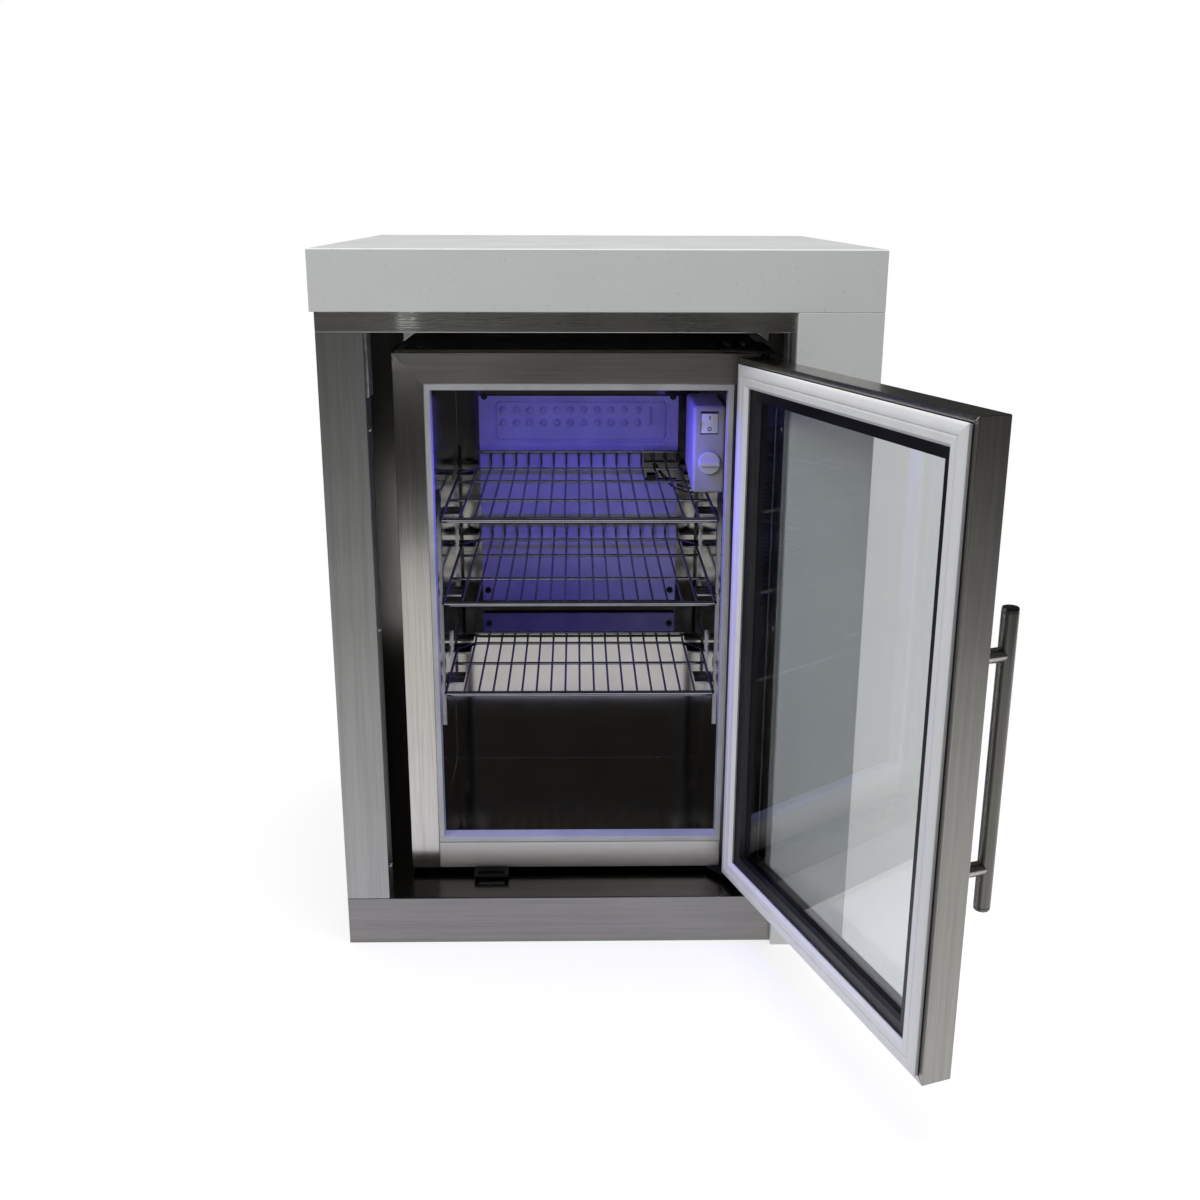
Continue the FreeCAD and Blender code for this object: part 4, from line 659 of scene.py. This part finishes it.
# %% Patterns
class Pattern(Graph):
    """A Geometry Nodes tree with named sizes."""

    def __init__(self, name, sizes):
        super().__init__(bpy.data.node_groups.new(name, "GeometryNodeTree"))
        geometry = "NodeSocketGeometry"
        face = self.tree.interface
        face.new_socket("Geometry", in_out="INPUT", socket_type=geometry)
        face.new_socket("Geometry", in_out="OUTPUT", socket_type=geometry)
        for size, kind in sizes.items():
            face.new_socket(size, in_out="INPUT", socket_type="NodeSocket" + kind)
        face.new_socket("Finish", in_out="INPUT", socket_type="NodeSocketMaterial")
        self.start = self.node("NodeGroupInput")

    def size(self, name):
        return self.start.output(name)

    def close(self, geometry):
        smooth = self.node("GeometryNodeSetShadeSmooth", {}, {0: geometry})
        real = self.node("GeometryNodeRealizeInstances", {}, {0: smooth})
        sockets = {"Geometry": real, "Material": self.size("Finish")}
        self.node("NodeGroupOutput", {}, {0: self.node("GeometryNodeSetMaterial", {}, sockets)})

    def grow(self, base, finish, sizes):
        """The mesh that the tree makes from a base mesh with these sizes."""
        carrier = bpy.data.objects.new("carrier", base)
        bpy.context.scene.collection.objects.link(carrier)
        modifier = carrier.modifiers.new("pattern", "NODES")
        modifier.node_group = self.tree
        values = {**sizes, "Finish": finish}
        for item in self.tree.interface.items_tree:
            if item.in_out == "INPUT" and item.name in values:
                modifier[item.identifier] = values[item.name]
        seen = carrier.evaluated_get(bpy.context.evaluated_depsgraph_get())
        mesh = bpy.data.meshes.new_from_object(seen)
        carrier.modifiers.remove(modifier)
        bpy.data.objects.remove(carrier)
        return mesh


def lines(*paths):
    """A base mesh of open or closed chains of points; a chain that repeats its first
    point is closed."""
    points = []
    edges = []
    for path in paths:
        closed = path[0] == path[-1]
        chain = path[:-1] if closed else path
        first = len(points)
        points += chain
        edges += [(first + i, first + i + 1) for i in range(len(chain) - 1)]
        if closed:
            edges.append((len(points) - 1, first))
    mesh = bpy.data.meshes.new("lines")
    mesh.from_pydata(points, edges, [])
    return mesh


def joined(name, meshes):
    """Several meshes of one finish as one."""
    shape = bmesh.new()
    for mesh in meshes:
        shape.from_mesh(mesh)
    return as_mesh(name, shape, 60)


print("patterns ready")

# %% [markdown]
# ## Bent wire
# A shelf wire is a straight rod with a bend where it turns up at the back. The tree
# takes chains of points, rounds their corners, sweeps a circle along them and repeats
# the result in equal steps. The same tree draws the rim of a shelf, its cross wires,
# the bars of its clips and the sensor's capillary tube.

# %% Bent wire tree
def bent_wire_tree():
    sizes = {"Radius": "Float", "Bend": "Float", "Copies": "Int", "Step": "Vector"}
    wire = Pattern("bent_wire", sizes)
    path = wire.node("GeometryNodeMeshToCurve", {}, {"Mesh": wire.size("Geometry")})
    corner = {"Curve": path, "Radius": wire.size("Bend"), "Count": 6, "Limit Radius": True}
    bent = wire.node("GeometryNodeFilletCurve", {"mode": "POLY"}, corner)
    ring = {"Resolution": 12, "Radius": wire.size("Radius")}
    ring = wire.node("GeometryNodeCurvePrimitiveCircle", {}, ring)
    rod = {"Curve": bent, "Profile Curve": ring, "Fill Caps": True}
    rod = wire.node("GeometryNodeCurveToMesh", {}, rod)
    row = {"Count": wire.size("Copies"), "Offset": wire.size("Step")}
    row = wire.node("GeometryNodeMeshLine", {"mode": "OFFSET"}, row)
    copies = {"Points": row, "Instance": rod}
    wire.close(wire.node("GeometryNodeInstanceOnPoints", {}, copies))
    return wire


BENT_WIRE = bent_wire_tree()


def wires(paths, radius, finish, bend=0.0, copies=1, step=(0.0, 0.0, 0.0)):
    sizes = {"Radius": radius, "Bend": bend, "Copies": copies, "Step": step}
    return BENT_WIRE.grow(lines(*paths), finish, sizes)


print("nodes in the wire tree:", len(BENT_WIRE.tree.nodes))

# %% [markdown]
# ## Shelves
# Each shelf is a weldment: a rim with rounded front corners, which steps in at the back
# to clear the rear shelf posts, cross wires under the long ones, 17 long wires that
# turn up at the back, and a wire that ties their ends. The lowest shelf stops short at
# the step over the compressor, so it has a lower upstand and one cross wire fewer. All
# of it is laid out from the shelf's own box in the frame.

# %% Shelves
LONG_WIRES = 17
LONG_INSET = 0.028
THIN, CROSS, RIM = 0.0016, 0.0022, 0.003
CROSS_PITCH = 0.129
WELD = 0.0006
REAR_GAP = 0.008
NOTCH_DEEP, NOTCH_WIDE = 0.034, 0.026
LONG_BEND, RIM_BEND = 0.008, 0.011
LIP_INSET = 0.002


def make_shelf(node, rise, crossings):
    low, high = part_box(node)
    finish = FINISH["shelf_chrome"]
    level = high[2] - CROSS - rise
    under = level - THIN - CROSS + WELD
    front = low[1] + RIM
    back = high[1] - CROSS
    rear = back - REAR_GAP - 2 * CROSS
    left, right = low[0] + CROSS, high[0] - CROSS
    first, last = low[0] + LONG_INSET, high[0] - LONG_INSET
    step = (last - first) / (LONG_WIRES - 1)
    long_path = [(first, front, level), (first, back, level), (first, back, level + rise)]
    long_wires = wires([long_path], THIN, finish, LONG_BEND, LONG_WIRES, (step, 0, 0))
    notch = [rear - NOTCH_DEEP, rear]
    inner = [left + NOTCH_WIDE, right - NOTCH_WIDE]
    rim = [
        (left, front, under), (right, front, under), (right, notch[0], under),
        (inner[1], notch[1], under), (inner[0], notch[1], under), (left, notch[0], under),
        (left, front, under),
    ]
    rim = wires([rim], CROSS, finish, RIM_BEND)
    lip = [(x, front, level - WELD) for x in (left + LIP_INSET, right - LIP_INSET)]
    lip = wires([lip], RIM, finish)
    ties = [[(left, front + CROSS_PITCH * i, under), (right, front + CROSS_PITCH * i, under)]
            for i in range(1, crossings + 1)]
    ties.append([(first - CROSS, back, level + rise), (last + CROSS, back, level + rise)])
    mesh = joined(node + "_wires", [long_wires, rim, lip, wires(ties, CROSS, finish)])
    return settle(node + "_wires", mesh, finish, node)


for node, rise, crossings in (
    ("shelf_top", 0.022, 2), ("shelf_middle", 0.022, 2), ("shelf_bottom", 0.0095, 1),
):
    shelf = make_shelf(node, rise, crossings)
    print(shelf.name, len(shelf.data.polygons), "faces")

# %% [markdown]
# ## Shelf clips
# Under each corner of a shelf a stamped clip hooks into the slotted post. It has three
# pressed bars across, on which the shelf's rim rests. The hooks keep their nodes, and
# the bars are bent wire again, repeated front to back.

# %% Clip bars
BAR_RADIUS = 0.0016
BAR_PITCH = 0.0205
BAR_INSET = 0.001


def islands(node):
    """The boxes of a node's separate solids, as (lowest, highest) corners, in the order
    of the mesh, so that each run lays them out alike."""
    shape = whole(node)
    met = set()
    boxes = []
    for start in shape.verts:
        if start in met:
            continue
        met.add(start)
        group = [start]
        for vert in group:
            for edge in vert.link_edges:
                other = edge.other_vert(vert)
                if other not in met:
                    met.add(other)
                    group.append(other)
        spans = [[min(v.co[i] for v in group), max(v.co[i] for v in group)] for i in range(3)]
        boxes.append(tuple(zip(*spans)))
    shape.free()
    return boxes


def make_clip_bars():
    finish = FINISH["clips"]
    paths = []
    for low, high in islands("shelf_clips"):
        middle = (low[1] + high[1]) / 2
        for way in (-1, 0, 1):
            y = middle + way * BAR_PITCH
            z = high[2] - BAR_RADIUS * 0.7
            paths.append([(low[0] + BAR_INSET, y, z), (high[0] - BAR_INSET, y, z)])
    mesh = wires(paths, BAR_RADIUS, finish)
    return settle("clip_bars", mesh, finish, body="cabinet", slot="shelf_chrome")


clip_bars = make_clip_bars()
print("clip bars:", len(clip_bars.data.polygons), "faces")

# %% [markdown]
# ## Bolt and screw heads
# The frame has each head as a short plain rod. A real pan head is a shallow dome with a
# cross recess. The tree takes one point for each head, makes one dome, cuts the cross
# into it and puts a copy at each point, turned along the way that the head faces.

# %% Heads
ARM_LONG, ARM_WIDE = 0.55, 0.12


def head_tree():
    sizes = {"Width": "Float", "Height": "Float", "Turn": "Vector"}
    head = Pattern("pan_head", sizes)
    ball = {"Segments": 20, "Rings": 10, "Radius": 1.0}
    ball = head.node("GeometryNodeMeshUVSphere", {}, ball)
    half = head.size("Width") * 0.5
    scale = {"X": half, "Y": half, "Z": head.size("Height")}
    scale = head.node("ShaderNodeCombineXYZ", {}, scale)
    dome = head.node("GeometryNodeTransform", {}, {"Geometry": ball, "Scale": scale})
    arms = []
    for wide, deep in ((ARM_LONG, ARM_WIDE), (ARM_WIDE, ARM_LONG)):
        size = {"X": head.size("Width") * wide, "Y": head.size("Width") * deep,
                "Z": head.size("Height")}
        size = head.node("ShaderNodeCombineXYZ", {}, size)
        arm = head.node("GeometryNodeMeshCube", {}, {"Size": size})
        rise = head.node("ShaderNodeCombineXYZ", {}, {"Z": head.size("Height")})
        move = {"Geometry": arm, "Translation": rise}
        arms.append(head.node("GeometryNodeTransform", {}, move))
    cut = head.node("GeometryNodeMeshBoolean", {"operation": "DIFFERENCE"}, {0: dome})
    for arm in arms:
        head.tree.links.new(arm.socket, cut.socket.node.inputs[1])
    copies = {"Points": head.size("Geometry"), "Instance": cut, "Rotation": head.size("Turn")}
    head.close(head.node("GeometryNodeInstanceOnPoints", {}, copies))
    return head


PAN_HEAD = head_tree()


def make_heads(node, outward):
    """Domes for every head of a node, grouped by the axis that the head points along.
    They face away from the cooler's middle where outward is 1, and towards it for -1."""
    middle = [(a + b) / 2 for a, b in zip(*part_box("cooler_case"))]
    turns = {
        (0, -1): (0.0, -math.pi / 2, 0.0), (0, 1): (0.0, math.pi / 2, 0.0),
        (1, -1): (math.pi / 2, 0.0, 0.0), (1, 1): (-math.pi / 2, 0.0, 0.0),
        (2, -1): (math.pi, 0.0, 0.0), (2, 1): (0.0, 0.0, 0.0),
    }
    groups = {}
    for low, high in islands(node):
        spans = [high[i] - low[i] for i in range(3)]
        axis = spans.index(min(spans))
        centre = [(low[i] + high[i]) / 2 for i in range(3)]
        way = outward if centre[axis] > middle[axis] else -outward
        centre[axis] = low[axis] if way > 0 else high[axis]
        width = max(spans)
        key = (axis, way, round(width, 4), round(min(spans), 4))
        groups.setdefault(key, []).append(tuple(centre))
    meshes = []
    for (axis, way, width, height), centres in groups.items():
        base = bpy.data.meshes.new("heads")
        base.from_pydata(centres, [], [])
        sizes = {"Width": width, "Height": height, "Turn": turns[axis, way]}
        meshes.append(PAN_HEAD.grow(base, finish_of(node), sizes))
    mesh = joined(node + "_heads", meshes)
    return settle(node + "_heads", mesh, finish_of(node), node)


for node, outward in (("cabinet_bolts", -1), ("case_screws", 1)):
    heads = make_heads(node, outward)
    print(heads.name, len(heads.data.polygons), "faces")

# %% [markdown]
# ## The evaporator plate
# The cold plate on the back wall is thin painted aluminium. Its upper band is pressed:
# a groove runs round a panel with two rows of bumps and a rib after them. A grid of
# points on the plate's face is pushed in and out by a height function, which is finer
# than cutting shapes into a slab and gives the soft shoulders of pressed sheet.

# %% Evaporator plate
PANEL_LEFT, PANEL_RIGHT, PANEL_TOP, PANEL_BOTTOM = 0.0225, 0.015, 0.005, 0.073
GROOVE_DEEP, BUMP_HIGH, RIB_HIGH = 0.0028, 0.0040, 0.0026
BUMP_COUNT, BUMP_PITCH, BUMP_START = 11, 0.0212, 0.038
BUMP_ROWS = (0.022, 0.0424)
RIB_TOP, RIB_BOTTOM, RIB_SHIFT = 0.018, 0.046, 0.0015
CORNER_CUT, CORNER_SLOPE = 0.007, 0.72
GROOVE_IN, GROOVE_OUT = (-0.0058, -0.0032), (-0.0014, 0.0012)
BUMP_SHOULDER, RIB_SHOULDER = (0.0016, 0.0068), (0.0004, 0.0034)
NOTCH_REACH, NOTCH_TOP, NOTCH_BOTTOM = 0.054, 0.089, 0.134
FINE_STEP, COARSE_STEP = 0.00125, 0.0125
SHEET, SHEET_SINK = 0.0009, 0.001


def smooth(value, low, high):
    t = min(1.0, max(0.0, (value - low) / (high - low)))
    return t * t * (3 - 2 * t)


def plate_relief(x, z, low, high):
    """How far the plate stands proud at a place: bumps out, the groove in."""
    left, right = low[0] + PANEL_LEFT, high[0] - PANEL_RIGHT
    top, bottom = high[2] - PANEL_TOP, high[2] - PANEL_BOTTOM
    across = max(left - x, x - right)
    rise = max(bottom - z, z - top)
    corner = (across + rise + CORNER_CUT) * CORNER_SLOPE
    outside = max(across, rise, corner)
    groove = smooth(outside, *GROOVE_IN) * (1 - smooth(outside, *GROOVE_OUT))
    relief = -GROOVE_DEEP * groove
    first = low[0] + BUMP_START
    for row in BUMP_ROWS:
        near = round((x - first) / BUMP_PITCH)
        if 0 <= near < BUMP_COUNT:
            away = math.hypot(x - first - BUMP_PITCH * near, z - (high[2] - row))
            relief += BUMP_HIGH * (1 - smooth(away, *BUMP_SHOULDER))
    rib = abs(x - (first + BUMP_PITCH * BUMP_COUNT - RIB_SHIFT))
    if high[2] - RIB_BOTTOM < z < high[2] - RIB_TOP:
        relief += RIB_HIGH * (1 - smooth(rib, *RIB_SHOULDER))
    return relief


def make_plate():
    low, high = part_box("evaporator_plate")
    notch_x = high[0] - NOTCH_REACH
    notch_z = (high[2] - NOTCH_BOTTOM, high[2] - NOTCH_TOP)
    columns = round((high[0] - low[0]) / FINE_STEP)
    xs = [low[0] + (high[0] - low[0]) * i / columns for i in range(columns + 1)]
    nearest = min(range(len(xs)), key=lambda i: abs(xs[i] - notch_x))
    xs[nearest] = notch_x
    zs = [high[2] - FINE_STEP * i for i in range(62)]
    zs += [notch_z[1], notch_z[0]] + [notch_z[0] - COARSE_STEP * i for i in range(1, 17)]
    zs = sorted({z for z in zs if z > low[2] + 0.001} | {low[2]})
    face = low[1] + SHEET_SINK
    shape = bmesh.new()
    grid = [[shape.verts.new((x, face - plate_relief(x, z, low, high), z)) for x in xs]
            for z in zs]
    for j in range(len(zs) - 1):
        for i in range(len(xs) - 1):
            beside = notch_z[0] - 1e-6 <= zs[j] < notch_z[1] - 1e-6
            if not (beside and xs[i] >= notch_x - 1e-6):
                ring = (grid[j][i], grid[j][i + 1], grid[j + 1][i + 1], grid[j + 1][i])
                shape.faces.new(ring)
    stray = [vert for vert in shape.verts if not vert.link_faces]
    bmesh.ops.delete(shape, geom=stray, context="VERTS")
    for surface in shape.faces:
        surface.smooth = True
    mesh = as_mesh("evaporator_sheet", shape, 30)
    if mesh.polygons[0].normal.y > 0:
        mesh.flip_normals()
    piece = settle("evaporator_sheet", mesh, FINISH["evaporator_white"], "evaporator_plate")
    wall = piece.modifiers.new("sheet", "SOLIDIFY")
    wall.thickness = SHEET
    wall.offset = -1
    return piece


plate = make_plate()
print("evaporator grid:", len(plate.data.polygons), "faces")

# %% [markdown]
# ## The thermostat's capillary
# A thin tube carries the thermostat's sensing bulb. It leaves a black holder on the
# cold plate, bends down and goes off towards the control box. It is bent wire of a
# single copy.

# %% Capillary
TUBE_RADIUS, TUBE_BEND, TUBE_STAND_OFF = 0.0013, 0.012, 0.004
TUBE_PATH = [(0.0955, 0.0, 0.566), (0.103, 0.0, 0.560), (0.112, 0.002, 0.546),
             (0.128, 0.004, 0.530), (0.150, 0.004, 0.522), (0.1700, 0.0, 0.520)]


def make_capillary():
    finish = FINISH["black_plastic"]
    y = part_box("evaporator_plate")[0][1] - TUBE_STAND_OFF
    path = [(x, y - out, z) for x, out, z in TUBE_PATH]
    mesh = wires([path], TUBE_RADIUS, finish, TUBE_BEND)
    return settle("capillary_tube", mesh, finish, body="cabinet", slot="black_plastic")


capillary = make_capillary()
print("capillary:", len(capillary.data.polygons), "faces")

# %% [markdown]
# ## The door handle
# The pull is a straight tube 18 mm across with a turned cap in each end. A tube is a
# profile spun about its axis: out along the cap, over a small chamfer, a shallow
# groove where the cap meets the tube, and down the side.

# %% Handle
CAP = [(0.0022, 0.0), (0.0008, 0.0005), (0.0002, 0.0016), (0.0002, 0.0040),
       (0.0007, 0.0044), (0.0007, 0.0050), (0.0, 0.0055), (0.0, 0.0070)]


def make_handle():
    low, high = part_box("handle_bar")
    x, y = (low[0] + high[0]) / 2, (low[1] + high[1]) / 2
    radius = (high[0] - low[0]) / 2
    end = [(0.0, 0.0)] + [(radius - inset, rise) for inset, rise in CAP]
    profile = [(r, low[2] + rise) for r, rise in end]
    profile += [(radius, low[2] + (high[2] - low[2]) * i / 8) for i in range(1, 8)]
    profile += [(r, high[2] - rise) for r, rise in reversed(end)]
    shape = bmesh.new()
    chain = [shape.verts.new((x + r, y, z)) for r, z in profile]
    edges = [shape.edges.new(pair) for pair in zip(chain, chain[1:])]
    bmesh.ops.spin(shape, geom=chain + edges, cent=(x, y, 0), axis=(0, 0, 1),
                   angle=2 * math.pi, steps=40, use_merge=True)
    bmesh.ops.remove_doubles(shape, verts=shape.verts, dist=1e-5)
    for face in shape.faces:
        face.smooth = True
    mesh = as_mesh("handle_tube", shape, 30)
    return settle("handle_tube", mesh, STEEL["handle"], "handle_bar")


handle = make_handle()
print("handle:", len(handle.data.polygons), "faces")

# %% [markdown]
# ## Floor, world and lamps
# The studio is a white floor that fades to nothing, and dark air above it. A camera
# ray sees the floor as plain white, with the object's soft shadow mixed in near it. A
# mirror-like surface sees the white floor only 2.35 m around, and the dark room past
# it: that edge is what draws the dark and light halves on the steel.

# %% Floor and world
WHITE = (1.0, 1.0, 1.0, 1)
FLOOR_REACH, FLOOR_FADE = 2.35, 0.06
SHADOW_START, SHADOW_REACH = 0.5, 1.5


def make_floor():
    sheet = Recipe("studio_floor")
    kind = "ShaderNodeVectorMath"
    flat = sheet.node(kind, {"operation": "MULTIPLY"}, {0: sheet.place, 1: (1, 1, 0)})
    away = sheet.node(kind, {"operation": "LENGTH"}, {0: flat}, out="Value")
    rays = sheet.node("ShaderNodeLightPath", out="Is Camera Ray")
    seen = sheet.math("MAXIMUM", rays, rays.output("Is Transmission Ray"))
    edge = FLOOR_REACH - FLOOR_FADE, FLOOR_REACH + FLOOR_FADE
    near = sheet.between(away, *edge, 0.88, 0.03)
    far = rays.output("Is Glossy Ray") * near + rays.output("Is Diffuse Ray") * 0.3
    glow = sheet.math("MAXIMUM", seen, far * (1 - seen))
    glow = sheet.node("ShaderNodeEmission", {}, {"Color": WHITE, "Strength": glow})
    matt = sheet.node("ShaderNodeBsdfDiffuse", {}, {"Color": paint("#f4f4f4")})
    lift = sheet.node("ShaderNodeEmission", {}, {"Color": WHITE, "Strength": 0.35})
    matt = sheet.node("ShaderNodeAddShader", {}, {0: matt, 1: lift})
    shade = sheet.between(away, SHADOW_START, SHADOW_REACH, 0.55, 0.0)
    return sheet.surface(sheet.node("ShaderNodeMixShader", {}, {0: shade, 1: glow, 2: matt}))


def make_ground():
    mesh = bpy.data.meshes.new("floor")
    half = 15.0
    mesh.from_pydata([(-half, -half, 0), (half, -half, 0), (half, half, 0), (-half, half, 0)],
                     [], [(0, 1, 2, 3)])
    mesh.materials.append(make_floor())
    floor = bpy.data.objects.new("floor", mesh)
    bpy.context.scene.collection.objects.link(floor)
    return floor


def make_world():
    world = bpy.data.worlds.new("studio")
    world.use_nodes = True
    bpy.context.scene.world = world
    air = Graph(world.node_tree)
    rays = air.node("ShaderNodeLightPath", out="Is Camera Ray")
    seen = air.math("MAXIMUM", rays, rays.output("Is Transmission Ray"))
    dim = rays.output("Is Glossy Ray") * 0.05 + rays.output("Is Diffuse Ray") * 0.25
    strength = air.math("MAXIMUM", seen, dim * (1 - seen))
    glow = air.node("ShaderNodeBackground", {}, {"Color": WHITE, "Strength": strength})
    air.node("ShaderNodeOutputWorld", {}, {"Surface": glow})
    return world


floor = make_ground()
world = make_world()
print("floor fades from", FLOOR_REACH, "m in reflections")

# %% [markdown]
# ## Lamps
# A large soft lamp hangs overhead, a key stands at the front left, and a weak one
# fills from the right. Two narrow lamps far in front are the only ones that mirrors
# show, as a pair of glints. A small violet lamp under the lens lights the cooler's
# inside.

# %% Lamps
def area(name, place, target, size, power, colour=(1.0, 1.0, 1.0), mirrored=False):
    light = bpy.data.lights.new(name, "AREA")
    light.shape = "RECTANGLE"
    light.size, light.size_y = size
    light.energy = power
    light.color = colour
    lamp = bpy.data.objects.new(name, light)
    lamp.visible_glossy = mirrored
    bpy.context.scene.collection.objects.link(lamp)
    away = Vector(place) - Vector(target)
    turned = away.to_track_quat("Z", "Y").to_matrix().to_4x4()
    lamp.matrix_world = Matrix.Translation(place) @ turned
    return lamp


area("overhead", (0.0, 0.0, 2.6), (0.0, 0.0, 0.0), (2.4, 2.4), 56)
area("key_left", (-1.8, -2.6, 2.2), (0.0, 0.0, 0.5), (1.2, 1.2), 31)
area("fill_right", (2.4, -1.2, 1.6), (0.2, 0.0, 0.5), (1.0, 1.4), 8)
for x in (-1.03, -0.97):
    area("twin_lamp", (x, -6.5, 0.29), (-0.2, -0.3, 0.8), (0.03, 0.10), 0.25, mirrored=True)
under_lens = (LAMP[0], LAMP[1], LAMP[2] - 0.004)
area("lens_glow", under_lens, (LAMP[0], LAMP[1] + 0.06, 0.0), (0.14, 0.012), 1.5, VIOLET)
print("lamps:", len(bpy.data.lights))

# %% [markdown]
# ## The last update
# The view layer is brought up to date.

# %% Finish
bpy.context.view_layer.update()
